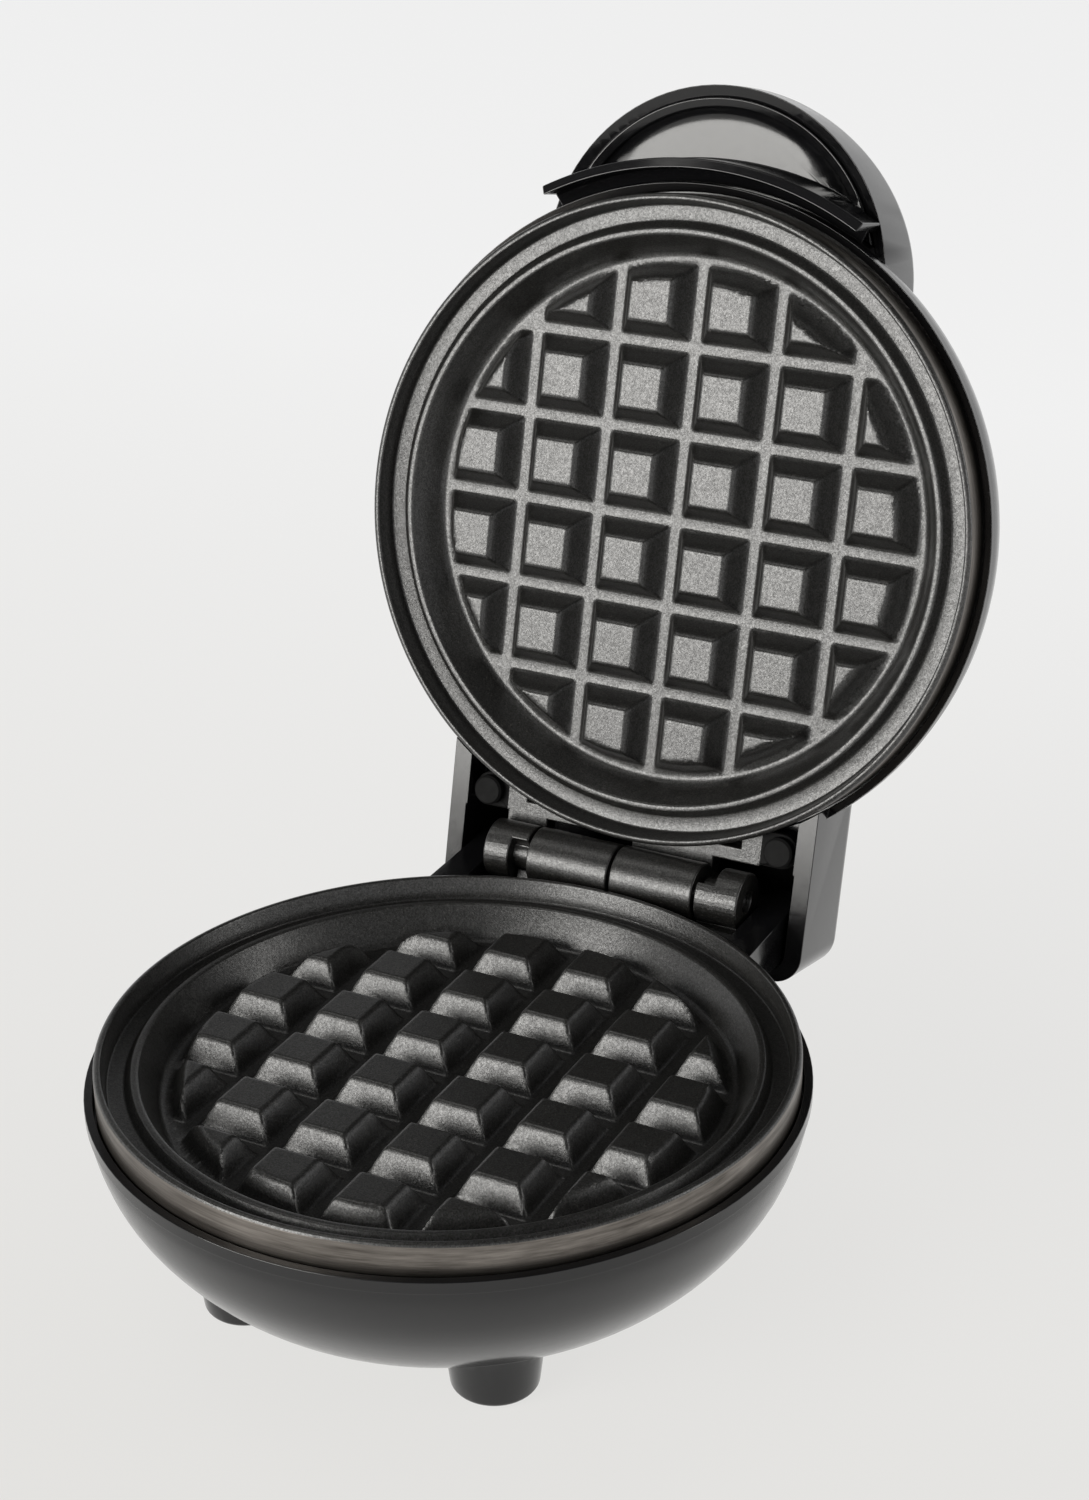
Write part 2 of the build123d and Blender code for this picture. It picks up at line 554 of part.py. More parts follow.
def handle_insert():
    """The lining of the handle: a scooped finger recess, the curved visor and a step behind it."""
    outer = NOSE_INNER - INSERT_FIT
    inner = SHELL_RADIUS + 2 * INSERT_FIT
    lining = crescent(outer, inner, NOSE_LEVEL, SCOOP_ROOF + SCOOP_WALL)
    scoop = crescent(outer - SCOOP_WALL, VISOR_RADIUS, NOSE_LEVEL - 2 * SCOOP_ROUND, SCOOP_ROOF)
    scoop = fillet(scoop.faces().sort_by(Axis.Z)[-1].edges().sort_by(Axis.Y)[0], SCOOP_ROUND)
    lining -= scoop
    visor_low = PARTING_LEVEL + VISOR_BOTTOM_ABOVE_PARTING
    step_low = PARTING_LEVEL + STEP_BOTTOM_ABOVE_PARTING
    lining += arc_band(VISOR_RADIUS - VISOR_THICKNESS, VISOR_RADIUS, VISOR_HALF_ANGLE, visor_low, NOSE_LEVEL)
    lining += arc_band(inner, VISOR_RADIUS - VISOR_THICKNESS / 2, VISOR_HALF_ANGLE, step_low,
                       step_low + STEP_THICKNESS)
    return lining


def thermostat():
    """A disc thermostat under the plate: metal cap, flange and two blade terminals."""
    top = -PLATE_FLOOR
    body = post(THERMOSTAT_RADIUS, 0, 0, top - THERMOSTAT_HEIGHT, top)
    body += post(THERMOSTAT_RADIUS + THERMOSTAT_FLANGE, 0, 0, top - THERMOSTAT_FLANGE_LOW,
                 top - THERMOSTAT_FLANGE_HIGH)
    for sx in (-1, 1):
        x = sx * BLADE_SPACING * THERMOSTAT_RADIUS
        body += block(x - BLADE_WIDTH / 2, x + BLADE_WIDTH / 2, -BLADE_THICKNESS / 2, BLADE_THICKNESS / 2,
                      top - THERMOSTAT_HEIGHT - BLADE_LENGTH, top - THERMOSTAT_HEIGHT)
    return body


def thermostat_strap():
    """The bent spring strap that holds the thermostat up against the plate."""
    low = -PLATE_FLOOR - THERMOSTAT_HEIGHT
    half = THERMOSTAT_RADIUS + THERMOSTAT_FLANGE + STRAP_THICKNESS + INSERT_FIT
    strap = block(-STRAP_WIDTH / 2, STRAP_WIDTH / 2, -half, half, low - STRAP_THICKNESS, low)
    for sy in (-1, 1):
        y0, y1 = sorted((sy * half, sy * (half - STRAP_THICKNESS)))
        strap += block(-STRAP_WIDTH / 2, STRAP_WIDTH / 2, y0, y1, low, -PLATE_FLOOR - STRAP_THICKNESS)
        y0, y1 = sorted((sy * (half - STRAP_THICKNESS), sy * (half + STRAP_FOOT)))
        strap += block(-STRAP_WIDTH / 2, STRAP_WIDTH / 2, y0, y1, -PLATE_FLOOR - STRAP_THICKNESS,
                       -PLATE_FLOOR)
    return strap


def thermal_fuse():
    """The one-shot fuse: a small can with a lead at each end, under the reflector."""
    fuse = rod(FUSE_RADIUS, -FUSE_LENGTH / 2, FUSE_LENGTH / 2, FUSE_Y, FUSE_LEVEL)
    return fuse + rod(FUSE_RADIUS / 3, -FUSE_LENGTH, FUSE_LENGTH, FUSE_Y, FUSE_LEVEL)


def fuse_clip():
    """The saddle that clips the fuse to the reflector."""
    half = STRAP_WIDTH / 2
    reach = FUSE_RADIUS + STRAP_FOOT / 2
    top = FUSE_LEVEL + FUSE_RADIUS
    band = rod(FUSE_RADIUS + STRAP_THICKNESS, -half, half, FUSE_Y, FUSE_LEVEL)
    band += block(-half, half, FUSE_Y - reach, FUSE_Y + reach, top - STRAP_THICKNESS, top)
    band -= rod(FUSE_RADIUS, -STRAP_WIDTH, STRAP_WIDTH, FUSE_Y, FUSE_LEVEL)
    band -= block(-STRAP_WIDTH, STRAP_WIDTH, FUSE_Y - FUSE_RADIUS, FUSE_Y + FUSE_RADIUS, FUSE_LEVEL, top)
    return band - block(-STRAP_WIDTH, STRAP_WIDTH, FUSE_Y - reach, FUSE_Y + reach, top, top + reach)


def terminal_block():
    """The nylon block that joins the supply to the inner leads, on the floor of the bowl."""
    low = BOWL_BOTTOM + SHELL_WALL
    body = block(-BLOCK_LENGTH / 2, BLOCK_LENGTH / 2, 0, BLOCK_WIDTH, low, low + BLOCK_HEIGHT)
    for i in range(BLOCK_WAYS):
        x = (i - 1) * WAY_PITCH
        body -= post(SCREW_RADIUS + INSERT_FIT, x, BLOCK_WIDTH / 2, low + BLOCK_HEIGHT / 2,
                     low + BLOCK_HEIGHT + PAST)
    return body


def terminal_screws():
    """The clamping screws in the block."""
    low = BOWL_BOTTOM + SHELL_WALL + BLOCK_HEIGHT / 2
    screws = []
    for i in range(BLOCK_WAYS):
        screws.append(post(SCREW_RADIUS, (i - 1) * WAY_PITCH, BLOCK_WIDTH / 2, low, low + BLOCK_HEIGHT / 3))
    return Compound(screws)


def cord_bushing():
    """The flanged sleeve that lines the cord inlet at the back of the bowl."""
    sleeve = Cylinder(BUSHING_RADIUS, BUSHING_LENGTH, align=(Align.CENTER, Align.CENTER, Align.MIN))
    sleeve += Cylinder(BUSHING_FLANGE, BUSHING_FLANGE_THICKNESS,
                       align=(Align.CENTER, Align.CENTER, Align.MAX))
    sleeve -= Cylinder(INLET_BORE_RADIUS, 4 * BUSHING_LENGTH)
    return Pos(0, INLET_BOSS_REACH, INLET_LEVEL) * Rot(X=90) * sleeve


def lead(points):
    """One insulated lead along straight runs with round bends."""
    path = FilletPolyline(*points, radius=LEAD_BEND)
    start = Plane(origin=path @ 0, z_dir=path % 0)
    return sweep(start * Circle(LEAD_RADIUS), path=path)


def base_leads():
    """Two leads from the terminal block up to the heater's pins."""
    leads = []
    pin_tip = PLATE_FLOOR_LEVEL - PLATE_FLOOR - SEAT_DEPTH - ELEMENT_LEG - TERMINAL_LENGTH
    level = BOWL_BOTTOM + SHELL_WALL + LEAD_CLEARANCE
    for x, y in leg_spots():
        start = math.copysign(WAY_PITCH, x)
        points = [(start, BLOCK_WIDTH, level), (start, y - LEAD_TURN, level), (x, y, level), (x, y, pin_tip)]
        leads.append(lead(points))
    return Compound(leads)


def lens():
    """The round lens of the power light, flush in the dome."""
    under = LID_TOP - SHELL_WALL
    disc = post(LENS_RADIUS, 0, 0, under, LID_TOP)
    disc += post(LENS_RADIUS + LENS_FLANGE, 0, 0, under - LENS_THICKNESS, under)
    return chamfer(disc.edges().sort_by(Axis.Z)[-1], LENS_CHAMFER)


def lamp():
    """The small neon lamp under the lens."""
    top = LID_TOP - SHELL_WALL - LENS_THICKNESS
    bulb = post(LAMP_RADIUS, 0, 0, top - LAMP_LENGTH, top)
    return fillet(bulb.edges().sort_by(Axis.Z)[0], LAMP_RADIUS / 2)


def lid_leads():
    """Two leads in the lid from the hood forward to the upper heater's pins."""
    leads = []
    pin_tip = UPPER_FLOOR_LEVEL + PLATE_FLOOR + SEAT_DEPTH + ELEMENT_LEG + TERMINAL_LENGTH
    level = pin_tip + LEAD_BEND + LID_LEAD_RISE
    for x, y in leg_spots():
        points = [(x, y, pin_tip), (x, y, level), (x, LID_LEAD_TURN, level),
                  (x, LID_LEAD_END, level - LID_LEAD_DROP)]
        leads.append(lead(points))
    return Compound(leads)


def lid_screws():
    """Two screws through the plate's ears up into the lid shell."""
    low = UPPER_FLOOR_LEVEL - WEB_TOP
    length = WEB_THICKNESS + SCREW_BITE
    return Compound([fastener(length, sx * EAR_X, EAR_Y, low) for sx in (-1, 1)])


def base_screws():
    """Four long screws from wells in the bowl up into the lower plate's posts."""
    length = PLATE_FLOOR_LEVEL + POST_END + SCREW_BITE - WELL_TOP
    return Compound([fastener(length, x, y, WELL_TOP) for x, y in POST_SPOTS])


def reflector_screws():
    """Four short screws that hold the upper reflector to the plate's posts, on the plate's own level."""
    low = POST_END - REFLECTOR_THICKNESS
    return Compound([fastener(REFLECTOR_THICKNESS + SCREW_BITE, x, y, low) for x, y in POST_SPOTS])


def foot_pads():
    """Four non-slip discs let into the feet."""
    pads = []
    for x, y, _ in FEET:
        pad = post(PAD_RADIUS, x, y, 0, PAD_THICKNESS)
        pads.append(chamfer(pad.edges().sort_by(Axis.Z)[0], PAD_CHAMFER))
    return Compound(pads)


def hinge_pin():
    """The steel pin through all four knuckles, with chamfered ends."""
    pin = rod(PIN_RADIUS, -KNUCKLE_END + PIN_END, KNUCKLE_END - PIN_END, HINGE_BEHIND, PARTING_LEVEL)
    return chamfer(pin.edges().filter_by(GeomType.CIRCLE), PIN_CHAMFER)


NODES = {
    "base_shell": base_shell,
    "lower_plate": lambda: raised(casting(False)),
    "lower_element": lambda: raised(heater()),
    "lower_reflector": lambda: raised(reflector()),
    "thermostat": lambda: raised(thermostat()),
    "thermostat_strap": lambda: raised(thermostat_strap()),
    "thermal_fuse": lambda: raised(thermal_fuse()),
    "fuse_clip": lambda: raised(fuse_clip()),
    "terminal_block": terminal_block,
    "terminal_screws": terminal_screws,
    "base_leads": base_leads,
    "cord_bushing": cord_bushing,
    "base_screws": base_screws,
    "foot_pads": foot_pads,
    "hinge_pin": hinge_pin,
    "lid_shell": lambda: opened(lid_shell()),
    "handle_insert": lambda: opened(handle_insert()),
    "upper_plate": lambda: opened(turned_over(casting(True))),
    "upper_element": lambda: opened(turned_over(heater())),
    "upper_reflector": lambda: opened(turned_over(reflector())),
    "reflector_screws": lambda: opened(turned_over(reflector_screws())),
    "lid_screws": lambda: opened(lid_screws()),
    "indicator_lens": lambda: opened(lens()),
    "indicator_lamp": lambda: opened(lamp()),
    "lid_leads": lambda: opened(lid_leads()),
}

shapes = {name: make() for name, make in NODES.items()}
front = shapes["base_shell"].bounding_box().min.Y
back = shapes["lid_shell"].bounding_box().max.Y
centred = Pos(0, -(front + back) / 2, 0)
for name, shape in shapes.items():
    export_step(centred * shape, f"parts/{name}.step")
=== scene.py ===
"""Dresses the open mini waffle maker: castings, moulded shells, hinge, feet, finishes, studio and camera."""
import json
import logging
import math
from dataclasses import dataclass, field
from enum import Enum

import bmesh
import bpy
from mathutils import Matrix, Vector


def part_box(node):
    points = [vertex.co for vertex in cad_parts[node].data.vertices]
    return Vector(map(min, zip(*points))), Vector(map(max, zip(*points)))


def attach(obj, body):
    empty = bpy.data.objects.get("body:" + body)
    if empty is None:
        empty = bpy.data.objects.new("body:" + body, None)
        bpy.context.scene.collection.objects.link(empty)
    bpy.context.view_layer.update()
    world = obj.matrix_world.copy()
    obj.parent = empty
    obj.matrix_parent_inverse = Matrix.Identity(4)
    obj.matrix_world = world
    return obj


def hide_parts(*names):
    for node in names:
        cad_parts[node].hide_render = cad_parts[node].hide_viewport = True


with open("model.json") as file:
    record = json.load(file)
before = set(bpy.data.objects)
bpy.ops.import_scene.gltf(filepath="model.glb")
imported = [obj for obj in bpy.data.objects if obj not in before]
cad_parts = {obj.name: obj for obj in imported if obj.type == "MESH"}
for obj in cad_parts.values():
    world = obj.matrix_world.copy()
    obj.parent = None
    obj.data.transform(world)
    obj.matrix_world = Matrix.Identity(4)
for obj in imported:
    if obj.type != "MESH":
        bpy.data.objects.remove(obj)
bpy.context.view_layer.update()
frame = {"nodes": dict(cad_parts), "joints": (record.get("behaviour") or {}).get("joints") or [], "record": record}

MM = 0.001
LOG = logging.getLogger("waffle_maker")

Colour = tuple[float, float, float]
Socket = bpy.types.NodeSocket


class Body(Enum):
    """The two rigid bodies of the maker."""

    BASE = "base"
    LID = "lid"


@dataclass(frozen=True)
class Dish:
    """Where one cooking plate lies. On its own, a plate's recess floor is at zero and its pegs point up.

    Attributes:
        placement: The matrix that puts the plate in the frame.
        radius: The outer radius of the casting, in metres.
    """

    placement: Matrix
    radius: float


class Graph:
    """A short way to write down a node tree."""

    def __init__(self, tree: bpy.types.NodeTree) -> None:
        """Keep the tree that nodes are added to."""
        self.tree = tree

    def add(self, kind: str, **values: object) -> bpy.types.Node:
        """Add a node, set its properties and its named inputs.

        Args:
            kind: The node's type.
            **values: Properties of the node, or inputs under their names with _ for a space.

        Returns:
            The new node.
        """
        node = self.tree.nodes.new(kind)
        for name, value in values.items():
            if hasattr(node, name):
                setattr(node, name, value)
                continue
            target = node.inputs[name.replace("_", " ")]
            if isinstance(value, bpy.types.NodeSocket):
                self.tree.links.new(value, target)
            else:
                target.default_value = value
        return node

    def link(self, source: Socket, target: Socket) -> None:
        """Join two sockets."""
        self.tree.links.new(source, target)

    def math(self, operation: str, first: object, second: object = 0.0) -> Socket:
        """Work out a number from two.

        Args:
            operation: The name of the operation.
            first: A socket or a number.
            second: A socket or a number.

        Returns:
            The result's socket.
        """
        node = self.tree.nodes.new("ShaderNodeMath")
        node.operation = operation
        for target, value in zip(node.inputs, (first, second)):
            if isinstance(value, bpy.types.NodeSocket):
                self.link(value, target)
            else:
                target.default_value = value
        return node.outputs[0]

    def ramp(self, value: Socket, low: float, high: float, start: float, end: float) -> Socket:
        """Turn a range of a value into another range, held at both ends.

        Args:
            value: The value to read.
            low: The value that gives start.
            high: The value that gives end.
            start: The result at low.
            end: The result at high.

        Returns:
            The result's socket.
        """
        node = self.add("ShaderNodeMapRange", Value=value, From_Min=low, From_Max=high, To_Min=start,
                        To_Max=end)
        return node.outputs[0]

    def mix(self, share: Socket, first: object, second: object) -> Socket:
        """Mix two colours.

        Args:
            share: How much of the second colour there is.
            first: A socket or a colour.
            second: A socket or a colour.

        Returns:
            The mixed colour's socket.
        """
        node = self.tree.nodes.new("ShaderNodeMix")
        node.data_type = "RGBA"
        self.link(share, node.inputs["Factor"])
        for target, value in ((node.inputs[6], first), (node.inputs[7], second)):
            if isinstance(value, bpy.types.NodeSocket):
                self.link(value, target)
            else:
                target.default_value = (*value, 1.0)
        return node.outputs[2]


class Effects:
    """The shared node groups. Each is built once and placed in a material with its own values."""

    FLECK_EDGE = 4.0
    GRAIN_SHARE = 0.6
    PEBBLE_SHARE = 0.5
    FINE_TIMES = 24.0
    NOISE_LOW = 0.3
    NOISE_HIGH = 0.7
    STREAK_HIGH = 0.72

    def __init__(self) -> None:
        """Build the groups."""
        self.speckle = self._speckle()
        self.unevenness = self._unevenness()
        self.streaks = self._streaks()

    @staticmethod
    def _group(name: str, inputs: dict[str, float], outputs: list[str]) -> tuple[bpy.types.NodeTree, Graph]:
        """Start a group with the surface position, named numbers in and named numbers out.

        Args:
            name: The group's name.
            inputs: Names and first values of the numbers that go in.
            outputs: Names of the numbers that come out.

        Returns:
            The group and a graph to fill it.
        """
        group = bpy.data.node_groups.new(name, "ShaderNodeTree")
        group.interface.new_socket("Position", in_out="INPUT", socket_type="NodeSocketVector")
        for label, value in inputs.items():
            socket = group.interface.new_socket(label, in_out="INPUT", socket_type="NodeSocketFloat")
            socket.default_value = value
        for label in outputs:
            group.interface.new_socket(label, in_out="OUTPUT", socket_type="NodeSocketFloat")
        return group, Graph(group)

    def _speckle(self) -> bpy.types.NodeTree:
        """Fine bright flecks on a slightly pebbled coating.

        Returns:
            The group: flecks as a mask, the height of the coating, and a value for each grain.
        """
        group, g = self._group("speckle", {"Scale": 2600.0, "Amount": 0.3}, ["Flecks", "Height", "Cells"])
        enter = g.add("NodeGroupInput")
        fine = g.add("ShaderNodeTexVoronoi", feature="F1", Vector=enter.outputs["Position"],
                     Scale=enter.outputs["Scale"])
        pick = g.add("ShaderNodeSeparateColor", Color=fine.outputs["Color"])
        start = g.math("SUBTRACT", 1.0, enter.outputs["Amount"])
        flecks = g.math("MULTIPLY", g.math("SUBTRACT", pick.outputs[0], start), self.FLECK_EDGE)
        flecks = g.math("MINIMUM", g.math("MAXIMUM", flecks, 0.0), 1.0)
        grain = g.add("ShaderNodeTexNoise", Vector=enter.outputs["Position"], Detail=3.0,
                      Scale=g.math("MULTIPLY", enter.outputs["Scale"], self.GRAIN_SHARE))
        leave = g.add("NodeGroupOutput")
        g.link(flecks, leave.inputs["Flecks"])
        g.link(pick.outputs[2], leave.inputs["Cells"])
        pebbles = g.math("MULTIPLY", pick.outputs[1], self.PEBBLE_SHARE)
        g.link(g.math("ADD", grain.outputs[0], pebbles), leave.inputs["Height"])
        return group

    def _unevenness(self) -> bpy.types.NodeTree:
        """Slow changes over a surface, for gloss and colour that are never quite even.

        Returns:
            The group: a wide value and a fine one, both from 0 to 1.
        """
        group, g = self._group("unevenness", {"Scale": 40.0}, ["Wide", "Fine"])
        enter = g.add("NodeGroupInput")
        wide = g.add("ShaderNodeTexNoise", Vector=enter.outputs["Position"], Scale=enter.outputs["Scale"],
                     Detail=2.0)
        fine = g.add("ShaderNodeTexNoise", Vector=enter.outputs["Position"], Detail=4.0,
                     Scale=g.math("MULTIPLY", enter.outputs["Scale"], self.FINE_TIMES))
        leave = g.add("NodeGroupOutput")
        for noise, label in ((wide, "Wide"), (fine, "Fine")):
            g.link(g.ramp(noise.outputs[0], self.NOISE_LOW, self.NOISE_HIGH, 0.0, 1.0), leave.inputs[label])
        return group

    def _streaks(self) -> bpy.types.NodeTree:
        """Tool marks that run round a turned side: noise stretched along the way of turning.

        Returns:
            The group: dark and light streaks from 0 to 1.
        """
        group, g = self._group("streaks", {"Along": 60.0, "Across": 1400.0}, ["Streaks"])
        enter = g.add("NodeGroupInput")
        split = g.add("ShaderNodeSeparateXYZ", Vector=enter.outputs["Position"])
        along = g.math("ADD", split.outputs[0], split.outputs[1])
        stretched = g.add("ShaderNodeCombineXYZ", X=g.math("MULTIPLY", along, enter.outputs["Along"]),
                          Y=g.math("MULTIPLY", split.outputs[1], enter.outputs["Along"]),
                          Z=g.math("MULTIPLY", split.outputs[2], enter.outputs["Across"]))
        noise = g.add("ShaderNodeTexNoise", Vector=stretched.outputs[0], Scale=1.0, Detail=4.0, Roughness=0.7)
        leave = g.add("NodeGroupOutput")
        g.link(g.ramp(noise.outputs[0], self.NOISE_LOW, self.STREAK_HIGH, 0.0, 1.0), leave.inputs["Streaks"])
        return group


class Finish:
    """What every finish shares: a material with a Principled BSDF and the surface position."""

    name: str

    def start(self) -> tuple[bpy.types.Material, Graph, bpy.types.Node, Socket]:
        """Make the empty material.

        Returns:
            The material, its graph, its shader and the position on the piece.
        """
        material = bpy.data.materials.new(self.name)
        material.use_nodes = True
        g = Graph(material.node_tree)
        shader = material.node_tree.nodes["Principled BSDF"]
        position = g.add("ShaderNodeTexCoord").outputs["Object"]
        return material, g, shader, position

    def build(self, effects: Effects) -> bpy.types.Material:
        """Build the material."""
        raise NotImplementedError


@dataclass(frozen=True)
class Moulded(Finish):
    """Moulded plastic or rubber with a faint orange-peel and uneven gloss.

    Attributes:
        name: The material's name.
        colour: Its colour.
        gloss: The roughness where the surface is smoothest.
        dull: The roughness where it is dullest.
        grain: How many grains there are across a metre.
        relief: How high the grain stands, as bump strength.
        coat: The weight of a clear coat.
        specular: The specular level.
        patches: How many patches of uneven gloss there are across a metre.
        lightest: How many times lighter the lightest patches are.
        lift: What is added to the colour of the lightest patches.
        coat_roughness: The roughness of the clear coat.
        peel_height: The height of the orange-peel, in metres.
    """

    name: str
    colour: Colour
    gloss: float
    dull: float
    grain: float = 900.0
    relief: float = 0.02
    coat: float = 0.0
    specular: float = 0.5
    patches: float = 28.0
    lightest: float = 1.5
    lift: float = 0.002
    coat_roughness: float = 0.08
    peel_height: float = 0.1 * MM

    def build(self, effects: Effects) -> bpy.types.Material:
        """Build the material.

        Args:
            effects: The shared node groups.

        Returns:
            The material.
        """
        material, g, shader, position = self.start()
        uneven = g.add("ShaderNodeGroup", node_tree=effects.unevenness, Position=position,
                       Scale=self.patches)
        lighter = tuple(channel * self.lightest + self.lift for channel in self.colour)
        g.link(g.mix(uneven.outputs["Wide"], self.colour, lighter), shader.inputs["Base Color"])
        g.link(g.ramp(uneven.outputs["Fine"], 0.0, 1.0, self.gloss, self.dull), shader.inputs["Roughness"])
        peel = g.add("ShaderNodeTexNoise", Vector=position, Scale=self.grain, Detail=2.0)
        bump = g.add("ShaderNodeBump", Strength=self.relief, Distance=self.peel_height,
                     Height=peel.outputs[0])
        g.link(bump.outputs[0], shader.inputs["Normal"])
        shader.inputs["Specular IOR Level"].default_value = self.specular
        shader.inputs["Coat Weight"].default_value = self.coat
        shader.inputs["Coat Roughness"].default_value = self.coat_roughness
        return material


@dataclass(frozen=True)
class Coated(Finish):
    """A cast plate with a speckled non-stick coating.

    Attributes:
        name: The material's name.
        colour: The colour between the flecks.
        fleck: The colour of the flecks.
        roughness: The roughness of the coating.
        specular: The specular level.
        relief: How strongly the pebbled surface shows, as bump strength.
        grains: How many grains there are across a metre.
        fleck_share: The share of grains that are flecks.
        patches: How many uneven patches there are across a metre.
        lightest: How many times lighter the lightest patches are.
        smoother: How much less rough the smoothest places are.
        duller: How much rougher the dullest places are.
        pebble_height: The height of the pebbled surface, in metres.
        glitter: How far the specular level of a grain is off the coating's.
    """

    name: str
    colour: Colour = (0.0085, 0.0082, 0.0074)
    fleck: Colour = (0.22, 0.21, 0.19)
    roughness: float = 0.32
    specular: float = 0.9
    relief: float = 0.55
    grains: float = 4300.0
    fleck_share: float = 0.05
    patches: float = 60.0
    lightest: float = 1.18
    smoother: float = 0.03
    duller: float = 0.07
    pebble_height: float = 0.05 * MM
    glitter: float = 0.32

    def build(self, effects: Effects) -> bpy.types.Material:
        """Build the material.

        Args:
            effects: The shared node groups.

        Returns:
            The material.
        """
        material, g, shader, position = self.start()
        specks = g.add("ShaderNodeGroup", node_tree=effects.speckle, Position=position, Scale=self.grains,
                       Amount=self.fleck_share)
        uneven = g.add("ShaderNodeGroup", node_tree=effects.unevenness, Position=position, Scale=self.patches)
        lighter = tuple(self.lightest * channel for channel in self.colour)
        ground = g.mix(uneven.outputs["Wide"], self.colour, lighter)
        g.link(g.mix(specks.outputs["Flecks"], ground, self.fleck), shader.inputs["Base Color"])
        dull = g.ramp(uneven.outputs["Fine"], 0.0, 1.0, self.roughness - self.smoother,
                      self.roughness + self.duller)
        g.link(dull, shader.inputs["Roughness"])
        bump = g.add("ShaderNodeBump", Strength=self.relief, Distance=self.pebble_height,
                     Height=specks.outputs["Height"])
        g.link(bump.outputs[0], shader.inputs["Normal"])
        level = g.ramp(specks.outputs["Cells"], 0.0, 1.0, self.specular - self.glitter,
                       self.specular + self.glitter)
        g.link(level, shader.inputs["Specular IOR Level"])
        return material


@dataclass(frozen=True)
class Turned(Finish):
    """Bare metal with the tool marks of turning, on a side that runs round an axis.

    Attributes:
        name: The material's name.
        light: The colour of the light streaks.
        dark: The colour of the dark streaks.
        roughness: The roughness of the metal.
        tilt: The angle about X, in degrees, that brings the piece's axis upright.
        patches: How many uneven patches there are across a metre.
        mark_share: How much of the shade comes from the tool marks, and not from the patches.
        duller: How much rougher the dark streaks are.
        mark_relief: How strongly the tool marks show, as bump strength.
        mark_height: The height of the tool marks, in metres.
    """

    name: str
    light: Colour
    dark: Colour
    roughness: float = 0.3
    tilt: float = 0.0
    patches: float = 90.0
    mark_share: float = 0.7
    duller: float = 0.14
    mark_relief: float = 0.25
    mark_height: float = 0.04 * MM

    def build(self, effects: Effects) -> bpy.types.Material:
        """Build the material.

        Args:
            effects: The shared node groups.

        Returns:
            The material.
        """
        material, g, shader, position = self.start()
        upright = g.add("ShaderNodeMapping", Vector=position, Rotation=(math.radians(self.tilt), 0.0, 0.0))
        marks = g.add("ShaderNodeGroup", node_tree=effects.streaks, Position=upright.outputs[0])
        uneven = g.add("ShaderNodeGroup", node_tree=effects.unevenness, Position=position, Scale=self.patches)
        shade = g.math("ADD", g.math("MULTIPLY", marks.outputs[0], self.mark_share),
                       g.math("MULTIPLY", uneven.outputs[0], 1.0 - self.mark_share))
        g.link(g.mix(shade, self.dark, self.light), shader.inputs["Base Color"])
        dull = g.ramp(marks.outputs[0], 0.0, 1.0, self.roughness + self.duller, self.roughness)
        g.link(dull, shader.inputs["Roughness"])
        bump = g.add("ShaderNodeBump", Strength=self.mark_relief, Distance=self.mark_height,
                     Height=marks.outputs[0])
        g.link(bump.outputs[0], shader.inputs["Normal"])
        shader.inputs["Metallic"].default_value = 1.0
        return material


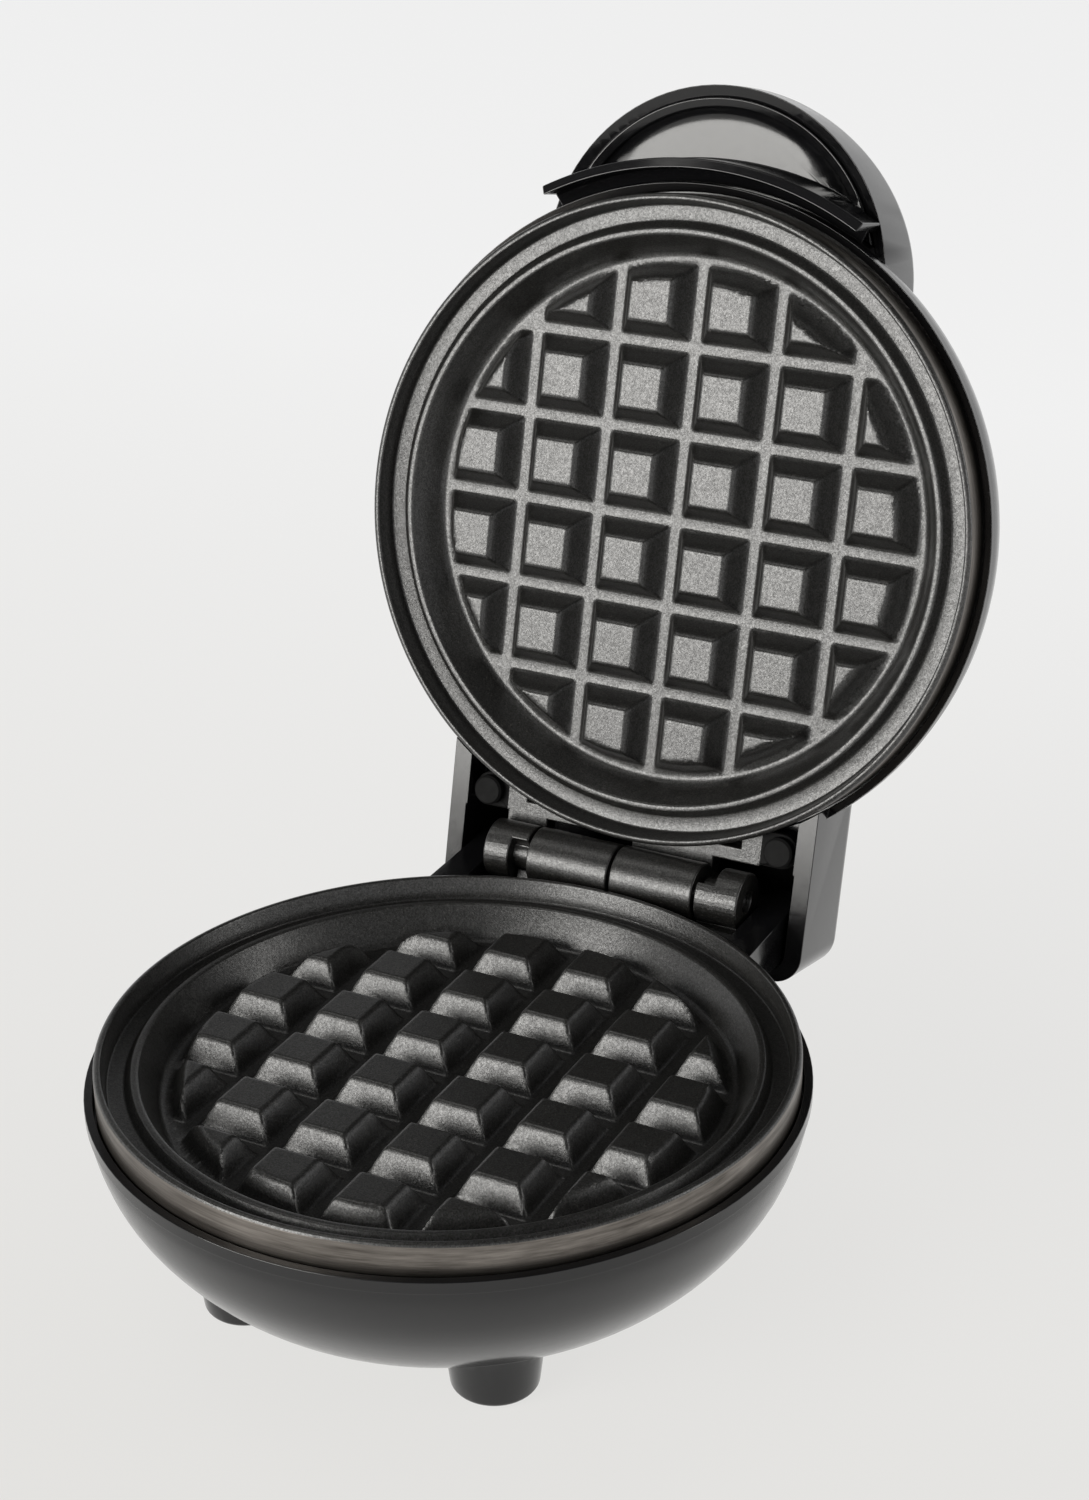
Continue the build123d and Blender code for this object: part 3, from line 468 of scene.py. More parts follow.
class Meshwork:
    """Makes finished pieces out of merged copies of the solids."""

    WELD = 0.002 * MM
    FLAT_ANGLE = math.radians(0.3)
    SMOOTH_ANGLE = math.radians(28.0)
    ROUNDING_SEGMENTS = 3

    def copy(self, node: str) -> bmesh.types.BMesh:
        """Take a merged copy of a node's mesh.

        Args:
            node: The node's name.

        Returns:
            The copy.
        """
        bm = bmesh.new()
        bm.from_mesh(frame["nodes"][node].data)
        bmesh.ops.remove_doubles(bm, verts=bm.verts, dist=self.WELD)
        bmesh.ops.dissolve_degenerate(bm, edges=bm.edges, dist=self.WELD)
        return bm

    def join_flats(self, bm: bmesh.types.BMesh) -> None:
        """Join the small triangles of each flat into one face, so that its edges can be rounded evenly.

        Args:
            bm: The mesh.
        """
        bmesh.ops.dissolve_limit(bm, angle_limit=self.FLAT_ANGLE, verts=bm.verts, edges=bm.edges)

    @staticmethod
    def cut(stock: bmesh.types.BMesh, tool: bmesh.types.BMesh) -> bmesh.types.BMesh:
        """Cut one closed mesh away from another.

        Args:
            stock: The mesh to cut, which is freed.
            tool: The mesh to cut away, which is freed.

        Returns:
            What is left, as a closed mesh.
        """
        holders = []
        for name, source in (("stock", stock), ("tool", tool)):
            mesh = bpy.data.meshes.new(name)
            source.to_mesh(mesh)
            source.free()
            holder = bpy.data.objects.new(name, mesh)
            bpy.context.scene.collection.objects.link(holder)
            holders.append(holder)
        modifier = holders[0].modifiers.new("cut", "BOOLEAN")
        modifier.operation = "DIFFERENCE"
        modifier.solver = "EXACT"
        modifier.object = holders[1]
        bpy.context.view_layer.update()
        seen = holders[0].evaluated_get(bpy.context.evaluated_depsgraph_get())
        result = bmesh.new()
        result.from_mesh(seen.data)
        for mesh in [holder.data for holder in holders]:
            bpy.data.objects.remove(bpy.data.objects[mesh.name])
            bpy.data.meshes.remove(mesh)
        return result

    def finish(self, bm: bmesh.types.BMesh, name: str, body: Body, slot: str,
               materials: list[bpy.types.Material], bevel: float, angle: float = 34.0) -> bpy.types.Object:
        """Turn a bmesh into a piece that rides on a body, with rounded edges.

        Args:
            bm: The mesh, which is freed.
            name: The piece's name.
            body: The body it rides on.
            slot: The record's material slot. It is not used.
            materials: The piece's materials.
            bevel: The width of the rounded edges, in metres.
            angle: Edges sharper than this many degrees are rounded.

        Returns:
            The piece.
        """
        mesh = bpy.data.meshes.new(name)
        for face in bm.faces:
            face.smooth = True
        bm.to_mesh(mesh)
        bm.free()
        mesh.set_sharp_from_angle(angle=self.SMOOTH_ANGLE)
        for material in materials:
            mesh.materials.append(material)
        piece = bpy.data.objects.new(name, mesh)
        bpy.context.scene.collection.objects.link(piece)
        if bevel:
            rounding = piece.modifiers.new("rounded_edges", "BEVEL")
            rounding.width = bevel
            rounding.segments = self.ROUNDING_SEGMENTS
            rounding.limit_method = "ANGLE"
            rounding.angle_limit = math.radians(angle)
            rounding.use_clamp_overlap = False
            rounding.harden_normals = True
        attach(piece, body.value)
        LOG.info("%s: %d faces", name, len(mesh.polygons))
        return piece


@dataclass
class PegField:
    """The rows of tapered pegs, as one surface with rounded edges, trimmed by the cone at the rim.

    Attributes:
        pitch: From one peg to the next, in metres.
        base: The width of a peg at its foot.
        top: The width of a peg at its top.
        height: The height of a peg.
        rows: How many rows there are.
        reach: The radius of the trimming cone at the floor.
        edge: The radius of the field's round edge.
        softness: The height over which an edge turns round.
        corner_slack: How far off a peg's diagonal a vertex on its corner may be.
        bands: Stretches from a peg's middle to the middle of the gap: where each ends, and its cells.
    """

    pitch: float = 16.2 * MM
    base: float = 13.45 * MM
    top: float = 8.55 * MM
    height: float = 4.8 * MM
    rows: int = 6
    reach: float = 47.6 * MM
    edge: float = 48.5 * MM
    softness: float = 1.1 * MM
    corner_slack: float = 0.011 * MM
    bands: tuple = ((3.5, 6), (4.9, 5), (6.1, 3), (7.3, 5), (8.1, 1))

    def _offsets(self) -> list[float]:
        """Work out where the lines of the surface lie, from a peg's middle to the middle of the gap.

        Returns:
            The distances, in metres.
        """
        places = [0.0]
        start = 0.0
        for end, cells in self.bands:
            places += [(start + (end - start) * (i + 1) / cells) * MM for i in range(cells)]
            start = end
        return places

    def _lowest(self, first: float, second: float) -> float:
        """Take the lower of two heights, with a round turn from one to the other."""
        overlap = max(self.softness - abs(first - second), 0.0)
        return min(first, second) - overlap * overlap / (4 * self.softness)

    def _height(self, dx: float, dy: float, reach: float) -> float:
        """Give the height of the surface.

        Args:
            dx: The distance from the nearest peg's middle along X.
            dy: The distance from the nearest peg's middle along Y.
            reach: The distance from the plate's axis.

        Returns:
            The height above the recess floor.
        """
        steepness = self.height / ((self.base - self.top) / 2)
        wall = self._lowest((self.base / 2 - abs(dx)) * steepness, (self.base / 2 - abs(dy)) * steepness)
        wall = self._lowest(wall, (self.reach - reach) * steepness)
        return self._lowest(-self._lowest(-wall, 0.0), self.height)

    def _along(self, step: int, offsets: list[float]) -> tuple[float, float]:
        """Find where a line of the grid lies.

        Args:
            step: The line's number, from the first line of the first peg.
            offsets: The distances of the lines from a peg's middle.

        Returns:
            The distance from the plate's axis, and from the nearest peg's middle.
        """
        cells = len(offsets) - 1
        row = min(step // (2 * cells), self.rows - 1)
        inside = step - row * 2 * cells - cells
        gap = math.copysign(offsets[abs(inside)], inside)
        return (row + 0.5 - self.rows / 2) * self.pitch + gap, gap

    def build(self, bm: bmesh.types.BMesh) -> None:
        """Add the surface to a mesh.

        Args:
            bm: The mesh.
        """
        offsets = self._offsets()
        half = self.rows * (len(offsets) - 1)
        made = bmesh.ops.create_grid(bm, x_segments=2 * half, y_segments=2 * half, size=float(half))
        ridge = []
        for vert in made["verts"]:
            x, gap_x = self._along(round(vert.co.x) + half, offsets)
            y, gap_y = self._along(round(vert.co.y) + half, offsets)
            vert.co = (x, y, self._height(gap_x, gap_y, math.hypot(x, y)))
            if abs(abs(gap_x) - abs(gap_y)) < self.corner_slack:
                ridge.append(vert)
        outside = [face for face in bm.faces if max(v.co.xy.length for v in face.verts) > self.edge]
        ridge = [vert for vert in ridge if vert.co.xy.length < self.reach]
        bmesh.ops.connect_verts(bm, verts=ridge)
        bmesh.ops.delete(bm, geom=[face for face in outside if face.is_valid], context="FACES")
        for vert in bm.verts:
            if vert.is_boundary:
                vert.co.xy = vert.co.xy.normalized() * self.edge
                vert.co.z = 0.0


@dataclass
class CookingPlate:
    """One casting: coated recess, pegs, lip and knuckles, with a bare turned side.

    Attributes:
        node: The node it stands for.
        body: The body it rides on.
        dish: Where the plate lies.
        pegs: Its pegs.
        rounding: The width of its rounded edges, in metres.
        side_slack: How far a face of the turned side may be from the true radius, in metres.
        ear_start: How far out the ears start, in metres.
        cut_slack: How far outside the dish the hinge is cut off it, in metres.
        cut_bottom: The height below which the posts and the ring are kept, in metres.
        cut_top: A height above the whole casting, in metres.
        hinge_angle: Edges of the hinge sharper than this many degrees are rounded.
        ring_angle: Rings of the dish sharper than this, in radians, are rounded.
        upright: How far the normal of the turned side may lean.
        steps: How many steps the dish is turned in.
        floor_corner: Radius and height pairs of the round corner of the recess floor, in millimetres.
        floor_overlap: From the peg field's edge to the dish's own floor. This and the rest in millimetres.
        mouth: The radius of the recess at its mouth.
        ridge_outer: The outer radius of the ridge round the mouth.
        ridge_top: The height of the ridge.
        mouth_round: The width and height of the mouth's rounded edge.
        land_inner: The inner radius of the land.
        land_outer: Its outer radius.
        land_level: Its height.
        lip_inner: The inner radius of the lip.
        lip_top: Its height.
        lip_chamfer: The size of the chamfer outside it.
        side: The radius of the turned side.
        skirt_inner: The inner radius of the skirt.
        flange_bottom: The height of the flange's underside.
        pan_bottom_radius: The radius of the pan's flat underside.
        pan_bottom: Its height.
    """

    node: str
    body: Body
    dish: Dish
    pegs: PegField = field(default_factory=PegField)
    rounding: float = 0.35 * MM
    side_slack: float = 0.12 * MM
    ear_start: float = 26.5 * MM
    cut_slack: float = 0.02 * MM
    cut_bottom: float = -2.62 * MM
    cut_top: float = 30.0 * MM
    hinge_angle: float = 50.0
    ring_angle: float = 0.45
    upright: float = 0.2
    steps: int = 192
    floor_corner: tuple = ((49.2, 0.08), (49.75, 0.45), (50.0, 0.85))
    floor_overlap: float = 0.2
    mouth: float = 53.0
    ridge_outer: float = 54.1
    ridge_top: float = 6.3
    mouth_round: tuple[float, float] = (0.2, 0.25)
    land_inner: float = 55.3
    land_outer: float = 58.3
    land_level: float = 4.35
    lip_inner: float = 59.05
    lip_top: float = 8.65
    lip_chamfer: float = 0.45
    side: float = 60.3
    skirt_inner: float = 57.8
    flange_bottom: float = 1.6
    pan_bottom_radius: float = 49.6
    pan_bottom: float = -2.6

    def _outline(self) -> list[tuple[float, float]]:
        """Give the dish's outline from the recess floor over the lip and the skirt to the underside.

        Returns:
            Radius and height pairs, in millimetres.
        """
        round_width, round_height = self.mouth_round
        return [
            (self.pegs.edge / MM + self.floor_overlap, 0.0),
            *self.floor_corner,
            (self.mouth - round_width, self.ridge_top - round_height),
            (self.mouth, self.ridge_top),
            (self.ridge_outer, self.ridge_top),
            (self.land_inner, self.land_level),
            (self.land_outer, self.land_level),
            (self.lip_inner, self.lip_top),
            (self.side - self.lip_chamfer, self.lip_top),
            (self.side, self.lip_top - self.lip_chamfer),
            (self.side, 0.0),
            (self.skirt_inner, 0.0),
            (self.skirt_inner, self.flange_bottom),
            (self.mouth, self.flange_bottom),
            (self.pan_bottom_radius, self.pan_bottom),
            (0.0, self.pan_bottom),
        ]

    def _round_dish(self) -> bmesh.types.BMesh:
        """Turn the outline about the axis and round its rings, then join the peg field to it.

        Returns:
            The mesh, on its own floor.
        """
        bm = bmesh.new()
        verts = [bm.verts.new((radius * MM, 0.0, height * MM)) for radius, height in self._outline()]
        edges = [bm.edges.new(pair) for pair in zip(verts, verts[1:])]
        bmesh.ops.spin(bm, geom=verts + edges, axis=(0, 0, 1), cent=(0, 0, 0), steps=self.steps,
                       angle=math.tau, use_merge=True)
        bmesh.ops.remove_doubles(bm, verts=bm.verts, dist=Meshwork.WELD)
        bmesh.ops.recalc_face_normals(bm, faces=bm.faces)
        inner = [edge for edge in bm.edges if len(edge.link_faces) == 2]
        rings = [edge for edge in inner if edge.calc_face_angle() > self.ring_angle]
        bmesh.ops.bevel(bm, geom=rings, offset=self.rounding, segments=Meshwork.ROUNDING_SEGMENTS,
                        profile=0.5, affect="EDGES", material=-1, clamp_overlap=True)
        rim = [edge for edge in bm.edges if edge.is_boundary]
        known = set(bm.verts)
        pegs = bmesh.new()
        self.pegs.build(pegs)
        holder = bpy.data.meshes.new("peg_field")
        pegs.to_mesh(holder)
        pegs.free()
        bm.from_mesh(holder)
        bpy.data.meshes.remove(holder)
        border = [edge for edge in bm.edges if edge.is_boundary and edge.verts[0] not in known]
        bmesh.ops.bridge_loops(bm, edges=rim + border)
        bmesh.ops.recalc_face_normals(bm, faces=bm.faces)
        return bm

    def _hinge_and_posts(self, meshwork: Meshwork) -> bmesh.types.BMesh:
        """Keep what stands out of the dish: web, knuckles, ears, and the posts and ring below.

        Args:
            meshwork: What makes pieces.

        Returns:
            The mesh, closed where it was cut off the dish.
        """
        tool = bmesh.new()
        radius = self.dish.radius + self.cut_slack
        bmesh.ops.create_cone(tool, cap_ends=True, segments=self.steps, radius1=radius, radius2=radius,
                              depth=self.cut_top - self.cut_bottom)
        middle = Matrix.Translation((0.0, 0.0, (self.cut_top + self.cut_bottom) / 2))
        bmesh.ops.transform(tool, matrix=self.dish.placement @ middle, verts=tool.verts)
        bm = meshwork.cut(meshwork.copy(self.node), tool)
        bmesh.ops.remove_doubles(bm, verts=bm.verts, dist=Meshwork.WELD)
        meshwork.join_flats(bm)
        for side in (-1, 1):
            bmesh.ops.bisect_plane(bm, geom=bm.verts[:] + bm.edges[:] + bm.faces[:],
                                   plane_co=(side * self.ear_start, 0.0, 0.0), plane_no=(1.0, 0.0, 0.0))
        return bm

    def build(self, meshwork: Meshwork, finishes: list[bpy.types.Material]) -> None:
        """Build the plate.

        Args:
            meshwork: What makes pieces.
            finishes: The finish of the coating, of the turned side, and the painted shade black put on the ears.
        """
        bm = self._round_dish()
        for face in bm.faces:
            middle = face.calc_center_median()
            upright = abs(face.normal.z) < self.upright
            face.material_index = int(upright and abs(middle.xy.length - self.dish.radius) < self.side_slack)
        bmesh.ops.transform(bm, matrix=self.dish.placement, verts=bm.verts)
        piece = meshwork.finish(bm, f"{self.node}_dish", self.body, "nonstick_plate", finishes, 0.0)
        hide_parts(self.node)
        bm = self._hinge_and_posts(meshwork)
        for face in bm.faces:
            # The ears take the third finish, a matt black that stands in for the shade they lie in: painted shade.
            face.material_index = 2 if abs(face.calc_center_median().x) > self.ear_start else 0
        meshwork.finish(bm, f"{self.node}_hinge", self.body, "nonstick_plate", finishes, self.rounding,
                        self.hinge_angle)


@dataclass(frozen=True)
class Slope:
    """A circle of vertices that is lifted, so that the flat beside it leans instead of facing the light.

    Attributes:
        forward: How far in front of the plate's axis the circle's centre lies, in metres.
        radius: The circle's radius.
        level: Its height with the lid closed.
        lift: How far it is lifted.
        slack: How far off the circle a vertex may be.
    """

    forward: float
    radius: float
    level: float
    lift: float
    slack: float = 0.06 * MM

    def touches(self, point: Vector) -> bool:
        """Tell whether a point lies on the circle."""
        away = abs(math.hypot(point.x, point.y + self.forward) - self.radius)
        return away < self.slack and abs(point.z - self.level) < self.slack


@dataclass
class MouldedPiece:
    """A moulded piece, as a merged copy with softly rounded edges.

    Attributes:
        node: The node it stands for.
        body: The body it rides on.
        slot: The record's material slot.
        rounding: The width of its rounded edges, in metres.
        slopes: The circles that are lifted.
        roof_level: The height above which a recess is made shallower, in metres.
        roof_share: How much of the depth above that height stays. At 1.0 it is the solid's own depth.
    """

    node: str
    body: Body
    slot: str
    rounding: float
    slopes: tuple[Slope, ...] = ()
    roof_level: float = 1.0
    roof_share: float = 1.0

    def build(self, meshwork: Meshwork, material: bpy.types.Material, closed: Matrix) -> None:
        """Build the piece.

        Args:
            meshwork: What makes pieces.
            material: Its finish.
            closed: The matrix that closes the lid and puts the plate's axis at X and Y zero.
        """
        bm = meshwork.copy(self.node)
        if self.slopes:
            bmesh.ops.transform(bm, matrix=closed, verts=bm.verts)
            above = [vert for vert in bm.verts if vert.co.z > self.roof_level]
            for slope in self.slopes:
                ring = [vert for vert in bm.verts if slope.touches(vert.co)]
                bmesh.ops.translate(bm, verts=ring, vec=(0.0, 0.0, slope.lift))
                LOG.info("%s: %d vertices lifted", self.node, len(ring))
            bmesh.ops.scale(bm, vec=(1.0, 1.0, self.roof_share), verts=above,
                            space=Matrix.Translation((0.0, 0.0, -self.roof_level)))
            bmesh.ops.transform(bm, matrix=closed.inverted(), verts=bm.verts)
        meshwork.join_flats(bm)
        piece = meshwork.finish(bm, f"{self.node}_moulding", self.body, self.slot, [material], self.rounding)
        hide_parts(self.node)


@dataclass
class Studio:
    """The floor, the lights, the surroundings and the camera of the photograph.

    Attributes:
        floor: The floor's colour.
        backdrop: The colour behind the object.
        ceiling: The colour overhead, as gloss shows it.
        surround: The light from all round, apart from the lamps.
        lamp_colour: The colour of the lamps.
        floor_glow: How much of the floor's look is its own plain colour.
        floor_reach: How far the floor reaches from the middle, in metres.
        floor_roughness: The floor's roughness.
        sky_low: How steeply upwards the backdrop starts to darken, as the height of a unit direction.
        sky_high: Where it has darkened to the colour overhead.
        aim: The point that the soft lights face, in metres.
        near_edge: Where the floor starts to turn into the backdrop, in metres.
        far_edge: Where it has turned into it, in metres.
        lights: The name, place, size and power of each soft light.
        camera_place: Where the camera stands, in metres.
        turn: The camera's angle about the vertical, in degrees.
        rise: How far above level it looks down from, in degrees.
        roll: How far it is rolled, in degrees.
        focal_pixels: The focal length in pixels of the photograph's height.
        picture_height: The height of the photograph in pixels.
    """

    floor: Colour = (0.808, 0.80, 0.78)
    backdrop: Colour = (0.945, 0.945, 0.945)
    ceiling: Colour = (0.10, 0.10, 0.10)
    surround: Colour = (0.30, 0.30, 0.30)
    lamp_colour: Colour = (1.0, 0.985, 0.95)
    floor_glow: float = 0.86
    floor_reach: float = 6.0
    floor_roughness: float = 0.7
    sky_low: float = 0.1
    sky_high: float = 0.55
    aim: tuple[float, float, float] = (0.0, 0.02, 0.10)
    near_edge: float = -0.15
    far_edge: float = 0.45
    lights: tuple = (
        ("softbox_front", (-0.60, -1.25, 0.40), (0.95, 0.80), 19.0),
        ("softbox_top", (-0.45, -0.10, 1.20), (0.50, 0.50), 1.0),
        ("softbox_right", (1.10, 0.25, 0.45), (0.25, 0.80), 2.0),
    )
    camera_place: Vector = field(default_factory=lambda: Vector((0.20743, -0.39345, 0.29518)))
    turn: float = 27.467
    rise: float = 25.305
    roll: float = -0.639
    focal_pixels: float = 2838.8
    picture_height: float = 1500.0

    def build(self) -> None:
        """Build everything that isn't the object."""
        self._camera()
        self._floor()
        self._world()
        self._lights()

    def _camera(self) -> None:
        """Set the camera at the photograph's viewing angle."""
        data = bpy.data.cameras.new("photo_camera")
        data.sensor_fit = "VERTICAL"
        data.sensor_height = 24.0
        data.lens = self.focal_pixels / self.picture_height * data.sensor_height
        data.clip_start = 0.01
        a, e, r = (math.radians(v) for v in (self.turn, self.rise, self.roll))
        right = Vector((math.cos(a), math.sin(a), 0.0))
        back = Vector((math.sin(a) * math.cos(e), -math.cos(a) * math.cos(e), math.sin(e)))
        up = back.cross(right)
        rolled_right = math.cos(r) * right + math.sin(r) * up
        rolled_up = -math.sin(r) * right + math.cos(r) * up
        camera = bpy.data.objects.new("photo_camera", data)
        turn = Matrix((rolled_right, rolled_up, back)).transposed()
        camera.matrix_world = Matrix.Translation(self.camera_place) @ turn.to_4x4()
        bpy.context.scene.collection.objects.link(camera)
        bpy.context.scene.camera = camera

    def _floor(self) -> None:
        """Lay a wide pale floor."""
        bm = bmesh.new()
        bmesh.ops.create_grid(bm, x_segments=1, y_segments=1, size=self.floor_reach)
        mesh = bpy.data.meshes.new("floor")
        bm.to_mesh(mesh)
        bm.free()
        material = bpy.data.materials.new("floor_paper")
        material.use_nodes = True
        g = Graph(material.node_tree)
        shader = material.node_tree.nodes["Principled BSDF"]
        shader.inputs["Roughness"].default_value = self.floor_roughness
        place = g.add("ShaderNodeTexCoord").outputs["Object"]
        far = g.add("ShaderNodeSeparateXYZ", Vector=place).outputs[1]
        tone = g.mix(g.ramp(far, self.near_edge, self.far_edge, 0.0, 1.0), self.floor, self.backdrop)
        g.link(tone, shader.inputs["Base Color"])
        glow = g.add("ShaderNodeEmission", Color=tone)
        seen = g.math("MULTIPLY", self._seen(g), self.floor_glow)
        blend = g.add("ShaderNodeMixShader", Fac=seen)
        g.link(shader.outputs[0], blend.inputs[1])
        g.link(glow.outputs[0], blend.inputs[2])
        g.link(blend.outputs[0], material.node_tree.nodes["Material Output"].inputs["Surface"])
        mesh.materials.append(material)
        floor = bpy.data.objects.new("floor", mesh)
        bpy.context.scene.collection.objects.link(floor)

    @staticmethod
    def _seen(g: Graph) -> Socket:
        """Tell the rays that show a thing, straight or in gloss or glass, from those that only light it.

        Args:
            g: The graph to write to.

        Returns:
            A socket that is 1 for the rays that show it.
        """
        path = g.add("ShaderNodeLightPath")
        seen = g.math("MAXIMUM", path.outputs["Is Camera Ray"], path.outputs["Is Glossy Ray"])
        return g.math("MAXIMUM", seen, path.outputs["Is Transmission Ray"])

    def _world(self) -> None:
        """Surround the object with soft light and a pale backdrop."""
        world = bpy.data.worlds.new("studio")
        bpy.context.scene.world = world
        world.use_nodes = True
        g = Graph(world.node_tree)
        shade = world.node_tree.nodes["Background"]
        way = g.add("ShaderNodeTexCoord").outputs["Generated"]
        rise = g.add("ShaderNodeSeparateXYZ", Vector=way).outputs[2]
        sky = g.mix(g.ramp(rise, self.sky_low, self.sky_high, 0.0, 1.0), self.backdrop, self.ceiling)
        g.link(g.mix(self._seen(g), self.surround, sky), shade.inputs["Color"])
        shade.inputs["Strength"].default_value = 1.0

    def _lights(self) -> None:
        """Hang the soft lights: a large one front left, which the upper plate mirrors, and two small ones."""
        target = Vector(self.aim)
        for name, place, size, power in self.lights:
            data = bpy.data.lights.new(name, "AREA")
            data.shape = "RECTANGLE"
            data.size, data.size_y = size
            data.energy = power
            data.color = self.lamp_colour
            light = bpy.data.objects.new(name, data)
            light.location = place
            light.rotation_euler = (target - Vector(place)).to_track_quat("-Z", "Y").to_euler()
            bpy.context.scene.collection.objects.link(light)


class WaffleMaker:
    """The whole object: which finish goes on which piece."""

    FLOOR_LEVEL = 35.0 * MM
    PARTING_LEVEL = 43.8 * MM
    PLATE_RADIUS = 60.3 * MM
    OPEN_ANGLE = 103.6
    NOSE_FORWARD = 46.0 * MM
    NOSE_LEVEL = PARTING_LEVEL + 12.2 * MM
    NOSE_OPENING = 31.8 * MM
    NOSE_LIFT = 0.9 * MM
    LINING_OPENING = 30.0 * MM
    LINING_LIFT = 0.7 * MM
    RIM_OPENING = 60.7 * MM
    RIM_LEVEL = 49.6 * MM
    RIM_LIFT = 0.6 * MM
    VISOR_RADIUS = 66.6 * MM
    VISOR_LEVEL = PARTING_LEVEL + 2.2 * MM
    VISOR_LIFT = 0.9 * MM
    STEP_RADIUS = 62.4 * MM
    STEP_LEVEL = PARTING_LEVEL + 7.6 * MM
    STEP_LIFT = 1.2 * MM
    ROOF_START = NOSE_LEVEL + 0.1 * MM
    ROOF_SHARE = 0.35
    SHELL_ROUNDING = 0.15 * MM
    LINING_ROUNDING = 0.3 * MM

    def __init__(self) -> None:
        """Read the frame and build the finishes."""
        self.effects = Effects()
        self.meshwork = Meshwork()
        hinge = Vector(frame["joints"][0]["pos_m"])
        low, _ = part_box("lower_plate")
        axis_y = low.y + self.PLATE_RADIUS
        lower = Matrix.Translation((0.0, axis_y, self.FLOOR_LEVEL))
        closed = Matrix.Translation((0.0, axis_y, 2 * self.PARTING_LEVEL - self.FLOOR_LEVEL))
        opening = Matrix.Rotation(-math.radians(self.OPEN_ANGLE), 4, "X")
        about_hinge = Matrix.Translation(hinge) @ opening @ Matrix.Translation(-hinge)
        upper = about_hinge @ closed @ Matrix.Rotation(math.pi, 4, "Y")
        self.closed = Matrix.Translation((0.0, -axis_y, 0.0)) @ about_hinge.inverted()
        self.lower = Dish(lower, self.PLATE_RADIUS)
        self.upper = Dish(upper, self.PLATE_RADIUS)
        self.materials = {finish.name: finish.build(self.effects) for finish in self._finishes()}

    def _finishes(self) -> list[Finish]:
        """List every finish.

        Returns:
            The finishes: one for each material slot, two for the bare sides, and a painted shade black for the
                ears and the lid screws.
        """
        return [
            Moulded("shell_plastic", (0.004, 0.004, 0.0045), 0.14, 0.2, coat=0.15),
            Moulded("handle_plastic", (0.004, 0.004, 0.0045), 0.12, 0.18, coat=0.15),
            Coated("nonstick_plate"),
            # Painted shade: a matt, low-gloss black on the ears and the lid screws so they read as lying in shade.
            Moulded("painted_shade_black", (0.004, 0.004, 0.004), 0.6, 0.7, 1600.0, 0.1, specular=0.12),
            Turned("bare_side_lower", (0.30, 0.275, 0.25), (0.07, 0.062, 0.055)),
            Turned("bare_side_upper", (0.30, 0.275, 0.25), (0.07, 0.062, 0.055), tilt=self.OPEN_ANGLE),
            Turned("element_steel", (0.36, 0.33, 0.30), (0.16, 0.14, 0.13), 0.4),
            Turned("reflector_steel", (0.62, 0.62, 0.62), (0.45, 0.45, 0.45), 0.22),
            Turned("reflector_aluminium", (0.68, 0.68, 0.69), (0.5, 0.5, 0.51), 0.24, tilt=self.OPEN_ANGLE),
            Turned("thermostat_metal", (0.6, 0.59, 0.56), (0.4, 0.39, 0.37), 0.36),
            Turned("spring_steel", (0.5, 0.49, 0.46), (0.32, 0.31, 0.29), 0.3),
            Turned("fuse_can", (0.66, 0.64, 0.6), (0.48, 0.46, 0.43), 0.3),
            Turned("zinc_screws", (0.6, 0.6, 0.62), (0.4, 0.4, 0.41), 0.28),
            Turned("pin_steel", (0.55, 0.55, 0.55), (0.4, 0.4, 0.4), 0.2),
            Moulded("terminal_nylon", (0.68, 0.66, 0.58), 0.4, 0.5, relief=0.05),
            Moulded("lead_insulation", (0.55, 0.53, 0.47), 0.7, 0.85, 2600.0, 0.5),
            Moulded("bushing_rubber", (0.014, 0.014, 0.014), 0.5, 0.62, 1600.0, 0.12),
            Moulded("pad_rubber", (0.02, 0.02, 0.02), 0.6, 0.75, 1600.0, 0.2),
            Moulded("lens_amber", (0.5, 0.13, 0.02), 0.08, 0.14, coat=0.5),
            Moulded("lamp_glass", (0.7, 0.5, 0.36), 0.12, 0.2),
        ]

    def build(self) -> None:
        """Dress every node in the order of assembly."""
        # ears holds the painted shade black for the ears, not the coating.
        coat, ears = self.materials["nonstick_plate"], self.materials["painted_shade_black"]
        lower_finishes = [coat, self.materials["bare_side_lower"], ears]
        upper_finishes = [coat, self.materials["bare_side_upper"], ears]
        CookingPlate("lower_plate", Body.BASE, self.lower).build(self.meshwork, lower_finishes)
        CookingPlate("upper_plate", Body.LID, self.upper).build(self.meshwork, upper_finishes)
        lip = Slope(self.NOSE_FORWARD, self.NOSE_OPENING, self.NOSE_LEVEL, self.NOSE_LIFT)
        rim = Slope(0.0, self.RIM_OPENING, self.RIM_LEVEL, self.RIM_LIFT)
        lining_lip = Slope(self.NOSE_FORWARD, self.LINING_OPENING, self.NOSE_LEVEL, self.LINING_LIFT)
        visor = Slope(0.0, self.VISOR_RADIUS, self.VISOR_LEVEL, self.VISOR_LIFT)
        step = Slope(0.0, self.STEP_RADIUS, self.STEP_LEVEL, self.STEP_LIFT)
        for moulding in (
            MouldedPiece("base_shell", Body.BASE, "shell_plastic", self.SHELL_ROUNDING),
            MouldedPiece("lid_shell", Body.LID, "shell_plastic", self.SHELL_ROUNDING, (lip, rim)),
            MouldedPiece("handle_insert", Body.LID, "handle_plastic", self.LINING_ROUNDING,
                         (lining_lip, visor, step), self.ROOF_START, self.ROOF_SHARE),
        ):
            moulding.build(self.meshwork, self.materials[moulding.slot], self.closed)
        for entry in frame["record"]["subparts"]:
            node = frame["nodes"][entry["node"]]
            node.data.materials.clear()
            # The lid screws take the painted shade black too.
            finish = "painted_shade_black" if entry["node"] == "lid_screws" else entry["material_slot"]
            node.data.materials.append(self.materials[finish])
            LOG.info("%s: %s", entry["node"], entry["material_slot"])


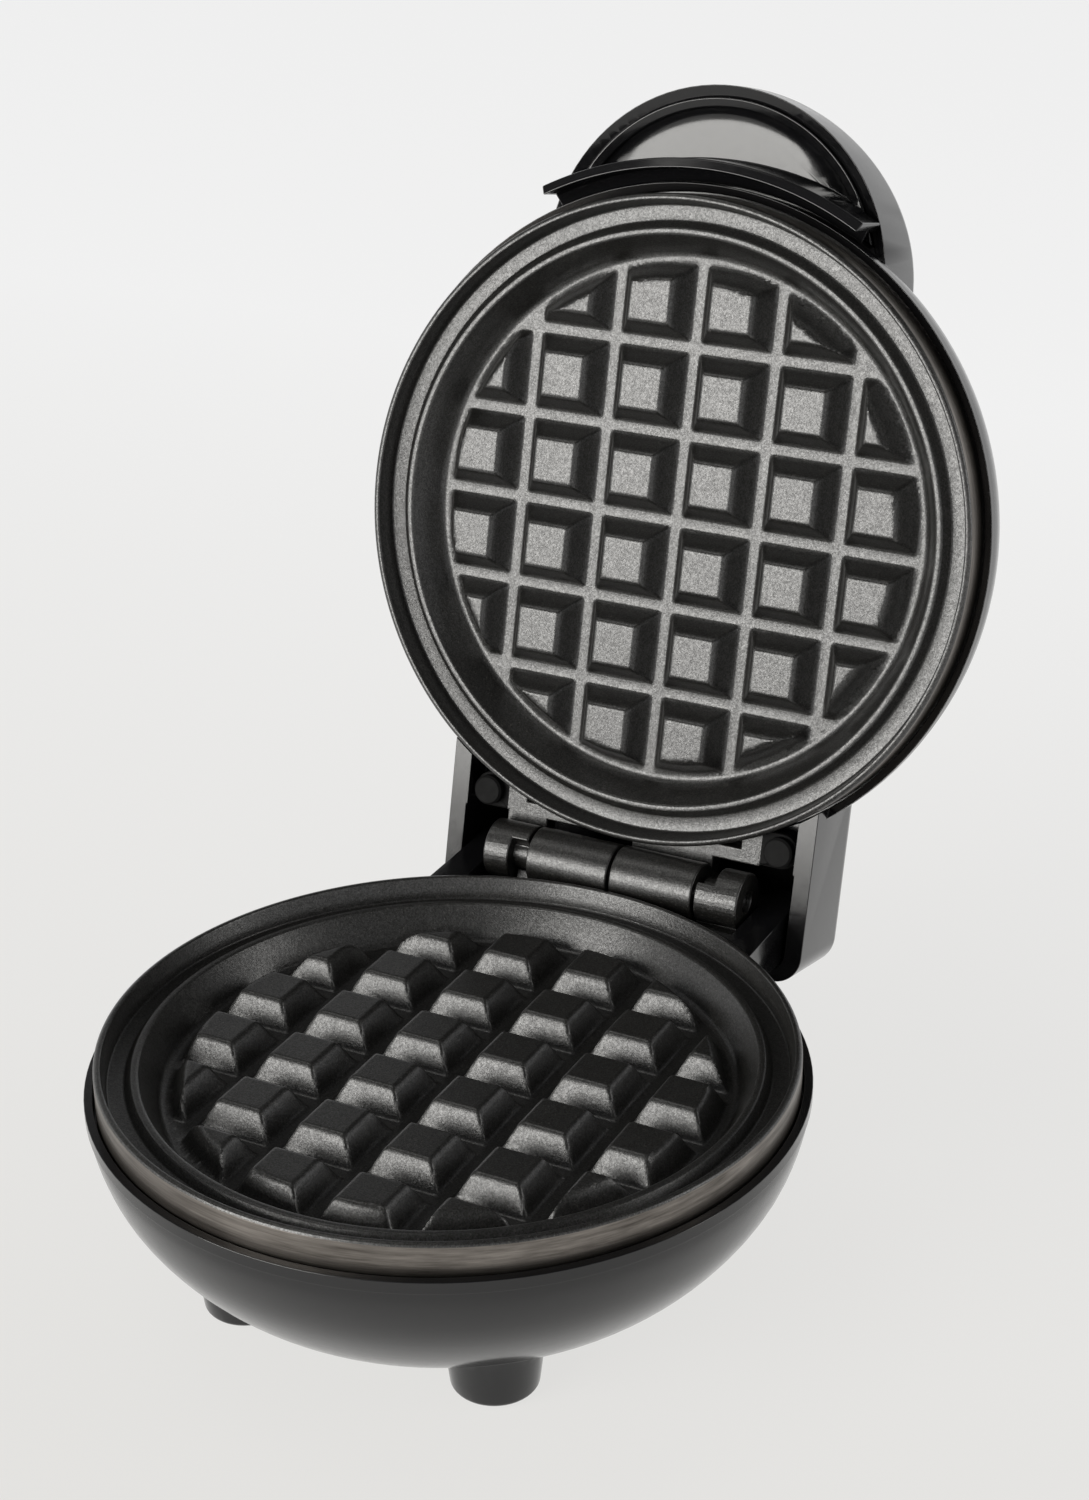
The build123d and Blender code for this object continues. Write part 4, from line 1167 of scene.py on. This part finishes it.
def main() -> None:
    """Build the object and its studio."""
    logging.basicConfig(level=logging.INFO, format="%(name)s %(message)s")
    bpy.context.scene.view_settings.view_transform = "Standard"
    WaffleMaker().build()
    Studio().build()


if __name__ == "__main__":
    main()
